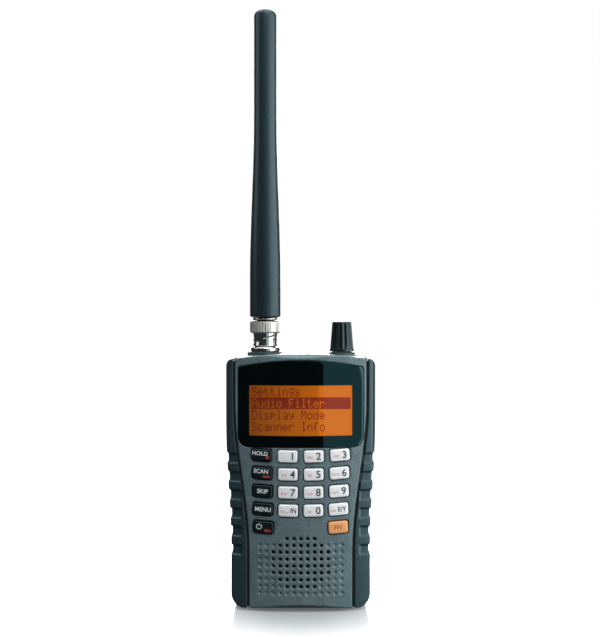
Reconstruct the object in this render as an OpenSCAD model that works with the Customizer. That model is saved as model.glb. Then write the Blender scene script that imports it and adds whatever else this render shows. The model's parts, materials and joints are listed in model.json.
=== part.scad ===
// Handheld radio scanner: case, keypad, display, battery bay, volume knob and bayonet antenna.
// Origin at the bottom centre, +Z up, the front faces -Y.

/* [Case] */
// Width of the case across its side grips
case_w = 67; // [66:1:84]
// Depth from the key caps to the battery door
case_d = 33; // [32.5:0.5:42]
// Height from the feet to the middle of the deck
case_h = 113; // [112:1:145]
// How much narrower the lower half is on each side
waist_in = 2.7; // [1:0.1:3]
// Radius of the crowned front, seen from above
crown_r = 100; // [90:5:200]
// Radius of the arched deck, seen from the front
deck_r = 215; // [180:5:400]
// Radius of the two bottom corners
bottom_r = 6; // [4:0.5:8]
// Radius of the two top corners
top_r = 4; // [3:0.5:5]
// Thickness of the front wall
front_wall = 2.3; // [2.1:0.1:2.5]
// Thickness of the side walls with the grips
side_wall = 3.2; // [3:0.1:3.6]
// Radius of the two upright edges at the front
edge_front_r = 12; // [9:0.5:14]
// Radius of the two upright edges at the back
edge_back_r = 6; // [5:0.5:7]

// Radius that rolls the front over into the deck
roll_front_r = 6; // [5:0.5:9]
// Radius that rolls the back over into the deck
roll_back_r = 4.5; // [4:0.5:6]

/* [Grips] */
// Thickness of a grip on the side of the case
grip_t = 1.6; // [1.2:0.1:1.8]
// Thickness of a grip on the front of the case
grip_face_t = 1.3; // [1:0.1:1.4]
// Half width of the front panel at its head
panel_head = 29.5; // [28.5:0.1:30]
// Half width of the front panel at its foot
panel_foot = 23.1; // [22.5:0.1:24.5]
// Width of the groove between panel and grip
groove_w = 1; // [0.3:0.1:1.2]
// Number of finger pockets in each grip
pockets = 6; // [3:1:6]
// Distance from one pocket to the next
pocket_pitch = 8.05; // [7:0.05:9]
// Height of a pocket
pocket_h = 4.3; // [3:0.1:5]
// Depth of a pocket
pocket_t = 0.7; // [0.4:0.1:0.9]

/* [Display] */
// Width of the lens
lens_w = 55.3; // [52:0.1:56]
// Height of the lens
lens_h = 38; // [34:0.5:38]
// Thickness of the lens
lens_t = 1.3; // [1:0.1:1.4]
// Corner radius of the lens
lens_r = 4.7; // [2:0.1:6]
// Radius of the arched top of the lens
lens_arch_r = 130; // [100:5:300]
// Distance from the top of the lens to the middle of the deck
lens_drop = 2.9; // [2.8:0.1:5]
// Width of the visible picture
lcd_w = 45.3; // [40:0.1:45.5]
// Height of the visible picture
lcd_h = 22.1; // [18:0.1:24]

/* [Keys] */
// Width of a key cap
key_w = 8.8; // [7:0.1:9.2]
// Height of a key cap
key_h = 5.4; // [4:0.1:5.8]
// Distance from column to column
col_pitch = 11.45; // [11.2:0.05:11.6]
// Distance from row to row
row_pitch = 7.9; // [7.6:0.05:8.1]
// How far the keys stand out of the front
key_proud = 0.7; // [0.4:0.1:1]
// Travel of a key
key_travel = 0.6; // [0.3:0.1:0.8]
// Gap around a key cap
key_gap = 0.3; // [0.2:0.05:0.5]
// How much higher the outer columns sit
key_smile = 0.5; // [0:0.1:0.8]

/* [Speaker] */
// Distance from hole to hole in the grille
hole_pitch = 3; // [2.6:0.1:3.2]
// Diameter of a grille hole
hole_d = 1.6; // [1:0.1:2]
// Diameter of the loudspeaker
speaker_d = 25; // [20:1:25]

/* [Battery] */
// Diameter of a cell
cell_d = 14.4; // [10:0.1:14.5]
// Length of a cell
cell_l = 50.5; // [44:0.5:52]
// Thickness of the battery door
door_t = 1.8; // [1.4:0.1:2.2]

/* [Deck] */
// Distance of the antenna from the middle
antenna_x = 16.1; // [14:0.1:18]
// Height of the antenna above its jack
antenna_l = 139; // [80:1:180]
// Radius of the rubber sheath at its foot
sheath_r = 6.95; // [6.5:0.05:7.2]
// Radius of the rubber sheath at its tip
sheath_tip_r = 5.1; // [4:0.1:5.5]
// Distance of the volume knob from the middle
knob_x = 18.7; // [18:0.1:20]
// Radius of the knob at its foot
knob_r = 5.45; // [5.4:0.05:6]
// Radius of the knob at its top
knob_top_r = 4.35; // [4:0.05:5.2]
// Height of the knob
knob_h = 13.4; // [11:0.1:16]
// Travel of the knob when it is pushed
knob_travel = 0.4; // [0.2:0.1:0.4]

/* [Ports] */
// Height of the two ports below the deck
port_drop = 23; // [22:0.5:26]
// Radius of the bore for a 3.5 mm plug
plug_r = 1.8; // [1.78:0.01:1.85]
// Distance between the two belt clip screws
clip_pitch = 22; // [16:1:30]
// Radius of the thread in a belt clip insert
clip_hole_r = 1.5; // [1.25:0.05:1.6]

/* [Hidden] */
$fn = 64;
seam = 0.3;         // gap between parts that slide past each other
fit = 0.06;         // radial running clearance of shafts
far = 400;
foot_h = 0.9;
lens_proud = 0.15;
board_t = 1.2;
board_hw = 24;
main_edge = 9.5;    // from the side of the case to the edge of the main board
dome_h = 0.4;
seat_z = case_h - 0.7;

case_z0 = foot_h;
foot_hw = case_w / 2 - waist_in;
main_hw = case_w / 2 - main_edge;
front_y = -(case_d / 2 - key_proud);
back_y = case_d / 2;

// From 0 at z0 to 1 at z1, flat at both ends
function ease(z, z0, z1) =
    let (t = min(1, max(0, (z - z0) / (z1 - z0)))) t * t * (3 - 2 * t);
function half_width(z) = foot_hw + waist_in * ease(z, 30, case_h - 29);
function panel_half(z) = panel_foot + (panel_head - panel_foot) * ease(z, 26, case_h - 21);
function deck_z(x) = case_h - deck_r + sqrt(deck_r * deck_r - x * x);
// Depth of the crowned front at x, this far under its surface
function crown_y(x, under) =
    front_y + crown_r - sqrt((crown_r - under) * (crown_r - under) - x * x);

lens_z1 = case_h - lens_drop;
lens_z0 = lens_z1 - lens_h;
lcd_z = lens_z0 + lens_h / 2 - 2.9;
lcd_y = crown_y(lcd_w / 2 + 1.1, front_wall) + 0.2;
lcd_glass_t = 1.4;
lcd_frame_h = lcd_h + 5;
lcd_frame_hw = lcd_w / 2 + 1.6;

flange_w = 0.7;
flange_gap = 0.3;
flange_t = 0.9;
key_top_z = lens_z0 - 3.9;
key_back_y = crown_y(1.5 * col_pitch + key_w / 2 + flange_w, front_wall) + flange_gap + flange_t;
mat_y = key_back_y + key_travel + 0.1;
mat_boss_t = 0.9;
mat_t = 0.6;
board_y = mat_y + mat_boss_t + mat_t + dome_h + 0.1;
KEYS = concat([for (row = [0:3], col = [0:3]) [col, row]], [[0, 4], [3, 4]]);
function key_x(k) = (k[0] - 1.5) * (col_pitch - 0.13 * k[1]);
function key_z(k) =
    key_top_z - k[1] * row_pitch + key_smile * pow(key_x(k) / (1.5 * col_pitch), 2);
function key_turn(k) = -atan(2 * key_smile * key_x(k) / pow(1.5 * col_pitch, 2));
keypad_z0 = key_top_z - 4 * row_pitch - key_h / 2 - flange_w - 0.3;
keypad_z1 = key_top_z + key_smile + key_h / 2 + flange_w + 0.6;

through_half = [2, 3, 4, 4, 4, 4, 3, 2];   // open holes each side of the middle, row by row
speaker_z = 20.2;
speaker_hole_z0 = speaker_z + 4 * hole_pitch;
speaker_y = crown_y(speaker_d / 2, front_wall) + 0.2;
speaker_t = 3;
magnet_r = 7;
magnet_t = 3.2;

door_in_y = back_y - door_t - seam;
bay_gap = 0.4;
bay_wall = 1.2;
bay_hw = 1.5 * (cell_d + 0.2) + bay_gap;
bay_y = door_in_y - cell_d - bay_gap;
bay_z0 = 7.4;
spring_h = 2.5;
selector_h = 6;
bay_z1 = bay_z0 + spring_h + cell_l + 1 + selector_h;
door_tongue = 1.2;
door_hw = bay_hw + 0.5;
door_z1 = bay_z1 + bay_wall;
cell_z = bay_z0 + spring_h + 0.6;
selector_w = 6;
selector_slide_h = 3;
selector_z = bay_z1 - selector_h + 1.6;

main_y = bay_y - bay_wall - 0.4 - board_t;
main_z1 = case_h - 15;
can_t = 2.2;
jack_r = 3;
port_y = main_y + board_t + jack_r;
port_z = case_h - port_drop;
usb_h = 7.6;
usb_t = 3;
usb_y = main_y + board_t + usb_t / 2;
flap_t = 0.9;
flap_h = 12.5;
flap_w = 6;

screw_x = foot_hw - 3.4;
screw_zs = [12, case_h - 13];
screw_r = 1;
boss_r = 2.1;
head_r = 2;
head_t = 1.8;

washer_r = 8.2;
split_y = max(port_y + jack_r + 1.7, washer_r + 0.6);
washer_t = 1.2;
jack_flange_r = 6.5;
jack_flange_t = 2.3;
jack_body_r = 4.85;
jack_bore_r = 3.86;
flange_z = seat_z + washer_t;
sleeve_z = flange_z + jack_flange_t + seam;
ring_z = flange_z + 8.5;
ring_h = 5.6;
ring_r = 7;
sleeve_r = 5.45;
neck_z = ring_z + ring_h + 0.15;
sheath_z = neck_z + 1.45;
pin_r = 0.65;
stem_r = 4;
jack_top_z = ring_z + 3;
lug_z = sleeve_z + 2.9;
lug_r = 5.35;

collar_r = 6.1;
collar_t = 1;
knob_z = seat_z + collar_t + knob_travel + 0.1;
shaft_r = 3;
bush_r = 3.5;
bush_z1 = seat_z + collar_t + 3.2;
encoder_z = case_h - 10;
encoder_top = seat_z - 3.2;
rotor_z = encoder_z + 2.4;
rotor_h = 2.1;
rotor_r = 4.8;
drive_w = 3;

clip_z = case_h - 25;
insert_r = 2.5;
insert_l = 5;

// ---- outlines and shared cuts ----

// Rectangle from p to q with round corners
module round_rect(p, q, r) {
    translate([p[0] + r, p[1]]) square([q[0] - p[0] - 2 * r, q[1] - p[1]]);
    translate([p[0], p[1] + r]) square([q[0] - p[0], q[1] - p[1] - 2 * r]);
    for (x = [p[0] + r, q[0] - r], y = [p[1] + r, q[1] - r]) translate([x, y]) circle(r);
}

// Extrudes an x-z drawing along Y, from y0 to y1
module along_y(y0, y1) {
    translate([0, y1, 0]) rotate([90, 0, 0]) linear_extrude(y1 - y0) children();
}

// Extrudes a y-z drawing along X
module along_x(x0, x1) {
    translate([x0, 0, 0]) rotate([90, 0, 90]) linear_extrude(x1 - x0) children();
}

function front_side(side_in, face_in) =
    let (rb = bottom_r - face_in, rt = top_r - face_in, z0 = case_z0 + face_in,
         x1 = case_w / 2 - side_in, corner_z = deck_z(case_w / 2 - top_r) - top_r)
    concat(
        [for (a = [-90:15:0]) [foot_hw - side_in - rb + rb * cos(a), z0 + rb + rb * sin(a)]],
        [for (i = [1:11]) let (z = z0 + rb + (corner_z - z0 - rb) * i / 12)
            [half_width(z) - side_in, z]],
        [for (a = [0:15:75]) [x1 - rt + rt * cos(a), corner_z + rt * sin(a)]],
        [for (i = [0:5]) let (x = (x1 - rt) * (1 - i / 6)) [x, deck_z(x) - face_in]]);

// The case seen from the front
module front_outline(side_in, face_in) {
    side = front_side(side_in, face_in);
    polygon(concat(side, [for (i = [len(side) - 1:-1:0]) [-side[i][0], side[i][1]]]));
}

// The case seen from above: a crowned front and round edges
module plan_outline(side_in, face_in) {
    hw = case_w / 2 - side_in;
    arc_y = front_y - 0.5 + edge_front_r;
    intersection() {
        translate([0, front_y + crown_r]) circle(crown_r - face_in, $fn = 240);
        union() {
            round_rect([-hw, front_y - 0.5 + face_in], [hw, arc_y + edge_front_r + 6],
                       edge_front_r - face_in);
            round_rect([-hw, arc_y + 0.3 - edge_back_r + face_in], [hw, back_y - face_in],
                       edge_back_r - face_in);
        }
    }
}

// The case seen from the side: a rolled front edge and a tighter back edge
module side_outline(face_in) {
    z0 = case_z0 + face_in;
    z1 = case_h + 0.6 - face_in;
    arc_y = front_y - 1.2 + roll_front_r;
    round_rect([front_y - 1.2 + face_in, z0], [arc_y + roll_front_r + 6, z1], roll_front_r - face_in);
    round_rect([arc_y + 0.3 - roll_back_r + face_in, z0], [back_y - face_in, z1], roll_back_r - face_in);
}

module case_mass(side_in, face_in) {
    intersection() {
        along_y(-case_d, case_d) front_outline(side_in, face_in);
        linear_extrude(case_h + 5) plan_outline(side_in, face_in);
        along_x(-case_w, case_w) side_outline(face_in);
    }
}

module in_front() { translate([-far / 2, split_y - far, -far / 2]) cube(far); }
module behind() { translate([-far / 2, split_y, -far / 2]) cube(far); }

// Everything outside the front panel's edge, on the side that dir names
module rail_zone(dir, edge) {
    steps = 16;
    along_y(-case_d, split_y + 1) polygon(concat(
        [for (i = [0:steps]) let (z = (case_h + 10) * i / steps - 5)
            [dir * (panel_half(z) + edge), z]],
        [[dir * case_w, case_h + 5], [dir * case_w, -5]]));
}

module lens_outline(gap) {
    intersection() {
        round_rect([-lens_w / 2 - gap, lens_z0 - gap], [lens_w / 2 + gap, lens_z1 + gap], lens_r + gap);
        translate([0, lens_z1 + gap - lens_arch_r]) circle(lens_arch_r, $fn = 240);
    }
}

// The slice of the crowned front between two depths under its surface
module crown_slice(under0, under1) {
    translate([0, front_y + crown_r, 0]) difference() {
        cylinder(h = case_h, r = crown_r - under0, $fn = 240);
        translate([0, 0, -1]) cylinder(h = case_h + 2, r = crown_r - under1, $fn = 240);
        translate([-far, 0, -1]) cube([2 * far, far, case_h + 2]);
    }
}

module at_key(k) { translate([key_x(k), 0, key_z(k)]) rotate([0, key_turn(k), 0]) children(); }

module key_prism(grow, y0, y1) {
    along_y(y0, y1)
        round_rect([-key_w / 2 - grow, -key_h / 2 - grow], [key_w / 2 + grow, key_h / 2 + grow],
                   1 + grow / 2);
}

module at_antenna() { translate([-antenna_x, 0, 0]) children(); }
module at_knob() { translate([knob_x, 0, 0]) children(); }

// A round tube or disc standing on z
module tube(z, h, r, bore = 0) {
    translate([0, 0, z]) difference() {
        cylinder(h = h, r = r);
        if (bore > 0) translate([0, 0, -1]) cylinder(h = h + 2, r = bore);
    }
}

module at_screws() { for (x = [-screw_x, screw_x], z = screw_zs) translate([x, 0, z]) children(); }

// A rod along Y, from y0 to y1
module rod_y(r, y0, y1) { translate([0, y1, 0]) rotate([90, 0, 0]) cylinder(h = y1 - y0, r = r); }

// A rod along X, from x0 to x1
module rod_x(r, x0, x1) { translate([x0, 0, 0]) rotate([0, 90, 0]) cylinder(h = x1 - x0, r = r); }

// ---- case ----

module front_case() {
    color("#3f4c50") difference() {
        union() {
            difference() {
                intersection() { case_mass(0, 0); in_front(); }
                case_mass(side_wall, front_wall);
                difference() {
                    union() for (dir = [-1, 1]) rail_zone(dir, -groove_w / 2);
                    case_mass(grip_t, grip_face_t);
                }
            }
            intersection() {
                at_screws() rod_y(boss_r, front_y, split_y);
                case_mass(side_wall - 0.5, front_wall - 0.5);
            }
            at_antenna() tube(seat_z - 3, 3, washer_r);
            at_knob() tube(seat_z - 3, 3, collar_r + 0.4);
        }
        intersection() {
            along_y(-case_d, 0) lens_outline(0.15);
            crown_slice(-5, lens_t - lens_proud);
        }
        translate([-lcd_w / 2 - 0.4, -case_d, lcd_z - lcd_h / 2 - 0.4])
            cube([lcd_w + 0.8, case_d + lcd_y, lcd_h + 0.8]);
        for (k = KEYS) at_key(k) key_prism(key_gap, -case_d, key_back_y);
        for (row = [0:len(through_half) - 1], i = [-through_half[row]:through_half[row]])
            translate([i * hole_pitch, 0, speaker_hole_z0 - row * hole_pitch])
                rod_y(hole_d / 2, -case_d, speaker_y);
        at_antenna() {
            tube(seat_z, 10, washer_r + 0.3);
            tube(seat_z - 10, 20, stem_r);
        }
        at_knob() {
            tube(seat_z, 10, collar_r + 0.4);
            tube(seat_z - 10, 20, bush_r);
        }
        at_screws() rod_y(screw_r + 0.05, split_y - 9, split_y + 1);
        port_cuts();
    }
}

// Openings of both ports through the side walls and the grips
module port_cuts() {
    translate([0, port_y, port_z]) rod_x(jack_r + 0.1, -case_w, -case_w / 2 + side_wall + 1);
    translate([case_w / 2 - side_wall - 1, usb_y - usb_t / 2 - 0.1, port_z - usb_h / 2 - 0.1])
        cube([case_w, usb_t + 0.2, usb_h + 0.2]);
}

module rear_case() {
    outer_hw = bay_hw + bay_wall;
    color("#343f43") difference() {
        union() {
            difference() {
                intersection() { case_mass(0, 0); behind(); }
                case_mass(side_wall, front_wall);
            }
            difference() {
                translate([-outer_hw, bay_y - bay_wall, bay_z0 - bay_wall])
                    cube([2 * outer_hw, door_in_y - bay_y + bay_wall, bay_z1 - bay_z0 + 2 * bay_wall]);
                translate([-bay_hw, bay_y, bay_z0])
                    cube([2 * bay_hw, case_d, bay_z1 - bay_z0]);
            }
            selector_guides();
            intersection() {
                union() {
                    at_screws() rod_y(boss_r, split_y, back_y);
                    for (x = [-clip_pitch / 2, clip_pitch / 2])
                        translate([x, 0, clip_z]) rod_y(insert_r + 1.4, back_y - insert_l - 1, back_y);
                }
                case_mass(1, 1);
            }
        }
        door_cut();
        at_screws() {
            rod_y(screw_r + 0.15, 0, case_d);
            rod_y(head_r + 0.2, back_y - head_t - 0.3, case_d);
        }
        for (x = [-clip_pitch / 2, clip_pitch / 2])
            translate([x, 0, clip_z]) rod_y(insert_r, back_y - insert_l, case_d);
    }
}

// Room for the door and its tongues, open at the foot of the case
module door_cut() {
    hw = door_hw + seam;
    translate([-hw, door_in_y, -1]) cube([2 * hw, 10, door_z1 + seam + 1]);
    translate([-hw - door_tongue, door_in_y, -1])
        cube([2 * (hw + door_tongue), 0.8 + 2 * seam, door_z1 + seam + 1]);
}

module battery_door() {
    color("#39454a") intersection() {
        union() {
            translate([-door_hw, door_in_y + seam, 0]) cube([2 * door_hw, door_t, door_z1]);
            translate([-door_hw - door_tongue, door_in_y + seam, 0])
                cube([2 * (door_hw + door_tongue), 0.8, door_z1]);
        }
        case_mass(0, 0);
    }
}

module grip(dir) {
    pocket_z0 = key_top_z - 1.4 - (pockets - 1) * pocket_pitch;
    difference() {
        intersection() {
            case_mass(0, 0);
            rail_zone(dir, groove_w / 2);
            in_front();
        }
        case_mass(grip_t, grip_face_t);
        difference() {
            for (i = [0:pockets - 1])
                translate([-case_w, -case_d, pocket_z0 + i * pocket_pitch - pocket_h / 2])
                    cube([2 * case_w, case_d + split_y - 1.5, pocket_h]);
            case_mass(pocket_t, pocket_t);
            translate([-panel_foot - 3, -case_d, 0]) cube([2 * panel_foot + 6, 2 * case_d, case_h]);
        }
        port_cuts();
        flap_cut();
    }
}

// Recess for the cover of the data port
module flap_cut() {
    translate([case_w / 2 - flap_t - 0.1, usb_y - flap_w / 2 - seam, port_z - flap_h / 2 - seam])
        cube([case_w, flap_w + 2 * seam, flap_h + 2 * seam]);
}

module left_grip() { color("#2b3539") grip(-1); }
module right_grip() { color("#2b3539") grip(1); }

// ---- display ----

module display_lens() {
    color("#060809") intersection() {
        along_y(-case_d, 0) lens_outline(0);
        crown_slice(-lens_proud, lens_t - lens_proud);
    }
}

module lcd_glass() {
    color("#e07b00") translate([-lcd_w / 2 - 0.8, lcd_y, lcd_z - lcd_h / 2 - 0.8])
        cube([lcd_w + 1.6, lcd_glass_t, lcd_h + 1.6]);
}

module backlight_panel() {
    color("#ffe2b0") translate([-lcd_w / 2 - 0.8, lcd_y + lcd_glass_t, lcd_z - lcd_h / 2 - 0.8])
        cube([lcd_w + 1.6, board_y - lcd_y - lcd_glass_t - 0.3, lcd_h + 1.6]);
}

module lcd_frame() {
    color("#20262a") difference() {
        translate([-lcd_frame_hw, lcd_y, lcd_z - lcd_frame_h / 2])
            cube([2 * lcd_frame_hw, board_y - lcd_y, lcd_frame_h]);
        translate([-lcd_w / 2 - 0.8, lcd_y - 1, lcd_z - lcd_h / 2 - 0.8])
            cube([lcd_w + 1.6, case_d, lcd_h + 1.6]);
    }
}

// ---- keypad ----

module key_cap(k, colour) {
    color(colour) at_key(k) intersection() {
        union() {
            key_prism(0, -case_d, key_back_y);
            intersection() {
                key_prism(flange_w, -case_d, key_back_y);
                translate([-key_x(k), front_y + crown_r, -case_h])
                    cylinder(h = 2 * case_h, r = crown_r - front_wall - flange_gap, $fn = 240);
            }
        }
        translate([-key_x(k), front_y + crown_r, -case_h])
            cylinder(h = 2 * case_h, r = crown_r + key_proud, $fn = 240);
    }
}

module key_hold() { key_cap([0, 0], "#23292c"); }
module key_scan() { key_cap([0, 1], "#23292c"); }
module key_lockout() { key_cap([0, 2], "#23292c"); }
module key_menu() { key_cap([0, 3], "#23292c"); }
module key_power() { key_cap([0, 4], "#23292c"); }
module key_func() { key_cap([3, 4], "#f0a060"); }
module key_1() { key_cap([1, 0], "#dfe2e2"); }
module key_2() { key_cap([2, 0], "#dfe2e2"); }
module key_3() { key_cap([3, 0], "#dfe2e2"); }
module key_4() { key_cap([1, 1], "#dfe2e2"); }
module key_5() { key_cap([2, 1], "#dfe2e2"); }
module key_6() { key_cap([3, 1], "#dfe2e2"); }
module key_7() { key_cap([1, 2], "#dfe2e2"); }
module key_8() { key_cap([2, 2], "#dfe2e2"); }
module key_9() { key_cap([3, 2], "#dfe2e2"); }
module key_dot() { key_cap([1, 3], "#dfe2e2"); }
module key_0() { key_cap([2, 3], "#dfe2e2"); }
module key_enter() { key_cap([3, 3], "#dfe2e2"); }

module keypad_mat() {
    color("#b9bfbf") {
        translate([-board_hw, mat_y + mat_boss_t, keypad_z0])
            cube([2 * board_hw, mat_t, keypad_z1 - keypad_z0]);
        for (k = KEYS) at_key(k) rod_y(2.3, mat_y, mat_y + mat_boss_t + 0.1);
    }
}

module key_domes() {
    color("silver") for (k = KEYS) at_key(k)
        translate([0, board_y, 0]) rotate([90, 0, 0]) cylinder(h = dome_h, r1 = 2.4, r2 = 1.6);
}

// ---- boards and loudspeaker ----

module front_board() {
    color("#1f6b3a") translate([-board_hw, board_y, keypad_z0])
        cube([2 * board_hw, board_t, lcd_z + lcd_frame_h / 2 + 1 - keypad_z0]);
}

module main_board() {
    color("#1b5e34") translate([-main_hw, main_y, 6]) cube([2 * main_hw, board_t, main_z1 - 6]);
}

module shield_cans() {
    color("silver") for (can = [[-21, 40, 19, 26], [2, 40, 19, 17], [-21, 70, 26, 22]])
        translate([can[0], main_y - can_t, can[1]]) cube([can[2], can_t, can[3]]);
}

module speaker_frame() {
    r = speaker_d / 2;
    color("#8d9296") translate([0, 0, speaker_z]) difference() {
        union() {
            rod_y(r, speaker_y, speaker_y + speaker_t);
            rod_y(magnet_r, speaker_y + speaker_t - 0.5, speaker_y + speaker_t + magnet_t);
        }
        rod_y(r - 1, speaker_y - 1, speaker_y + speaker_t - 0.8);
    }
}

module speaker_cone() {
    r = speaker_d / 2 - 1;
    color("#2a2a2c") translate([0, speaker_y + 0.3, speaker_z]) rotate([-90, 0, 0]) difference() {
        cylinder(h = 1.8, r1 = r, r2 = 6);
        translate([0, 0, -0.6]) cylinder(h = 1.8, r1 = r, r2 = 6);
    }
}

// ---- volume knob and encoder ----

module volume_knob() {
    color("#101416") at_knob() difference() {
        tube_cone(knob_z, knob_h, knob_r, knob_top_r);
        for (a = [0:20:340]) rotate(a) translate([knob_r + 0.35, 0, knob_z + 1.4])
            rotate([0, -atan((knob_r - knob_top_r) / knob_h), 0]) cylinder(h = knob_h, r = 0.7);
        tube(knob_z - 1, bush_z1 + knob_travel + 0.4 - knob_z + 1, 4.6);
        difference() {
            tube(knob_z, knob_h - 2, shaft_r);
            translate([shaft_r - 0.8, -5, knob_z]) cube([5, 10, knob_h]);
        }
    }
}

module tube_cone(z, h, r0, r1) { translate([0, 0, z]) cylinder(h = h, r1 = r0, r2 = r1); }

// Round above, square below where it drives the rotor, with a flat inside the knob
module encoder_shaft() {
    round_z = rotor_z + rotor_h + knob_travel + 0.3;
    flat_z = bush_z1 + knob_travel + 0.4;
    color("silver") at_knob() difference() {
        union() {
            tube(round_z, knob_z + knob_h - 2 - round_z, shaft_r);
            translate([-drive_w / 2, -drive_w / 2, encoder_z + 1.2])
                cube([drive_w, drive_w, round_z - encoder_z - 1]);
        }
        translate([shaft_r - 0.8, -5, flat_z]) cube([5, 10, knob_h]);
    }
}

module encoder_rotor() {
    hole = drive_w + 2 * fit;
    color("#e8e2d0") at_knob() difference() {
        tube(rotor_z, rotor_h, rotor_r);
        translate([-hole / 2, -hole / 2, rotor_z - 1]) cube([hole, hole, rotor_h + 2]);
    }
}

module encoder_body() {
    color("#3a6ea5") at_knob() difference() {
        union() {
            translate([-5.6, -5.3, encoder_z]) cube([11.2, 10.6, encoder_top - encoder_z]);
            tube(encoder_top - 1, bush_z1 - encoder_top + 1, bush_r);
        }
        tube(encoder_z + 0.5, 2, drive_w);
        tube(rotor_z - 0.1, rotor_h + 0.2, rotor_r + fit);
        tube(rotor_z + rotor_h, 20, shaft_r + fit);
    }
}

module encoder_nut() {
    color("silver") at_knob() translate([0, 0, seat_z + collar_t]) difference() {
        cylinder(h = 2, r = 4.3, $fn = 6);
        translate([0, 0, -1]) cylinder(h = 4, r = bush_r);
    }
}

module knob_collar() { color("#14181a") at_knob() tube(seat_z, collar_t, collar_r, bush_r); }

// ---- antenna and bayonet ----

// Radius of the sheath at a height above its foot
function sheath_at(h) = sheath_tip_r + (sheath_r - sheath_tip_r) * (1 - ease(h, 0.12 * antenna_l, 0.66 * antenna_l));

module antenna_sheath() {
    tip_r = 2.3;
    steps = 14;
    stem_h = 5;
    color("#2f3d41") at_antenna() translate([0, 0, sheath_z]) difference() {
        rotate_extrude() polygon(concat([[0, 0]],
            [for (i = [0:steps]) let (h = (antenna_l - tip_r) * i / steps) [sheath_at(h), h]],
            [for (a = [15:15:75])
                [sheath_tip_r - tip_r + tip_r * cos(a), antenna_l - tip_r + tip_r * sin(a)]],
            [[sheath_tip_r - tip_r, antenna_l], [0, antenna_l]]));
        translate([0, 0, -1]) cylinder(h = stem_h + 1, r = 2.4);
        translate([0, 0, stem_h - 0.1]) cylinder(h = antenna_l - 20, r = 3);
    }
}

// Turns of wire on their core
module antenna_coil() {
    coil_l = antenna_l - 22;
    turn = 5;
    color("#b87333") at_antenna() translate([0, 0, sheath_z + 5.4]) {
        cylinder(h = coil_l, r = 1.9);
        for (z = [turn / 2:turn:coil_l - turn / 2]) translate([0, 0, z]) wire_ring(2.2, 0.5);
    }
}

// One turn of round wire
module wire_ring(r, wire_r) {
    rotate_extrude() translate([r, 0]) circle(wire_r, $fn = 24);
}

module antenna_plug() {
    color("silver") at_antenna() difference() {
        union() {
            tube(flange_z + 5.1, jack_top_z + 0.3 - flange_z - 5.1, jack_bore_r - fit);
            tube(jack_top_z + 0.25, neck_z - jack_top_z, jack_bore_r + 0.04);
            tube_cone(neck_z, sheath_z - neck_z, 5.6, 6.1);
            tube(sheath_z - 0.1, 5.1, 2.4);
        }
        tube(flange_z, neck_z - flange_z - 1, 3.15);
        tube(neck_z - 3, 4, pin_r);
    }
}

module antenna_pin() { color("#d4a93c") at_antenna() tube(flange_z + 1.5, neck_z - flange_z - 1, pin_r); }

module plug_insulator() {
    color("white") at_antenna() tube(ring_z, neck_z - 1 - ring_z, 3.15, pin_r);
}

module coupling_ring() {
    cavity_h = jack_top_z + 0.3 - sleeve_z;
    color("silver") at_antenna() difference() {
        union() {
            tube(sleeve_z, ring_z - sleeve_z + 1, sleeve_r);
            tube(ring_z, ring_h, ring_r);
        }
        tube(sleeve_z - 1, cavity_h + 1, jack_body_r + fit);
        tube(sleeve_z, 20, jack_bore_r + 0.04 + fit);
        for (turn = [0, 180]) rotate(turn) {
            bayonet_slot();
            rotate(90) translate([0, -1.1, sleeve_z - 1]) cube([10, 2.2, lug_z - sleeve_z + 2]);
        }
    }
}

// Quarter-turn window that a lug of the jack rides in
module bayonet_slot() {
    lug_hw = 16;
    translate([0, 0, lug_z - 1.1]) rotate(-lug_hw)
        rotate_extrude(angle = 90 + 2 * lug_hw) translate([jack_body_r - 0.5, 0]) square([3, 2.2]);
}

module antenna_jack() {
    color("silver") at_antenna() difference() {
        union() {
            tube(encoder_z - 2, flange_z - encoder_z + 3, stem_r);
            tube(flange_z, jack_flange_t, jack_flange_r);
            tube(flange_z + 1, jack_top_z - flange_z - 1, jack_body_r);
            translate([0, 0, lug_z]) rod_x(0.8, -lug_r, lug_r);
        }
        tube(flange_z + 0.6, 20, jack_bore_r);
        tube(encoder_z - 3, 20, 1.6);
    }
}

module jack_insulator() {
    color("white") at_antenna() tube(flange_z + 0.6, 4, jack_bore_r, pin_r + fit);
}

module jack_washer() { color("#1a1f22") at_antenna() tube(seat_z, washer_t, washer_r, stem_r); }

module jack_nut() {
    color("silver") at_antenna() translate([0, 0, case_h - 6.2]) difference() {
        cylinder(h = 2, r = 5.5, $fn = 6);
        translate([0, 0, -1]) cylinder(h = 4, r = stem_r);
    }
}

// ---- battery bay ----

module battery_cells() {
    color("#2f6f52") for (i = [-1:1]) translate([i * (cell_d + 0.2), bay_y + 0.2 + cell_d / 2, cell_z]) {
        cylinder(h = cell_l - 1, r = cell_d / 2);
        cylinder(h = cell_l, r = 2.6);
    }
}

// Compressed coils on their plates, each turn joined to the next
module contact_springs() {
    wire_r = 0.4;
    top = spring_h + 0.6;
    color("silver") for (i = [-1:1])
        translate([i * (cell_d + 0.2), bay_y + 0.2 + cell_d / 2, bay_z0]) {
            cylinder(h = 0.4, r = 4.6);
            translate([3.6, 0, 0.2]) cylinder(h = top - wire_r - 0.2, r = 0.3);
            for (z = [0.7:0.9:top - wire_r]) translate([0, 0, z]) wire_ring(3.6, wire_r);
        }
}

module contact_plates() {
    color("silver") for (i = [-1:1])
        translate([i * (cell_d + 0.2) - 4.5, bay_y, cell_z + cell_l]) cube([9, 9, 0.4]);
}

module battery_selector() {
    color("#c0392b") translate([-selector_w / 2, bay_y + 0.2, selector_z]) {
        cube([selector_w, 1.2, selector_slide_h]);
        translate([1.8, 1, 0.4]) cube([2.4, 1.6, selector_slide_h - 0.8]);
    }
}

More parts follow.
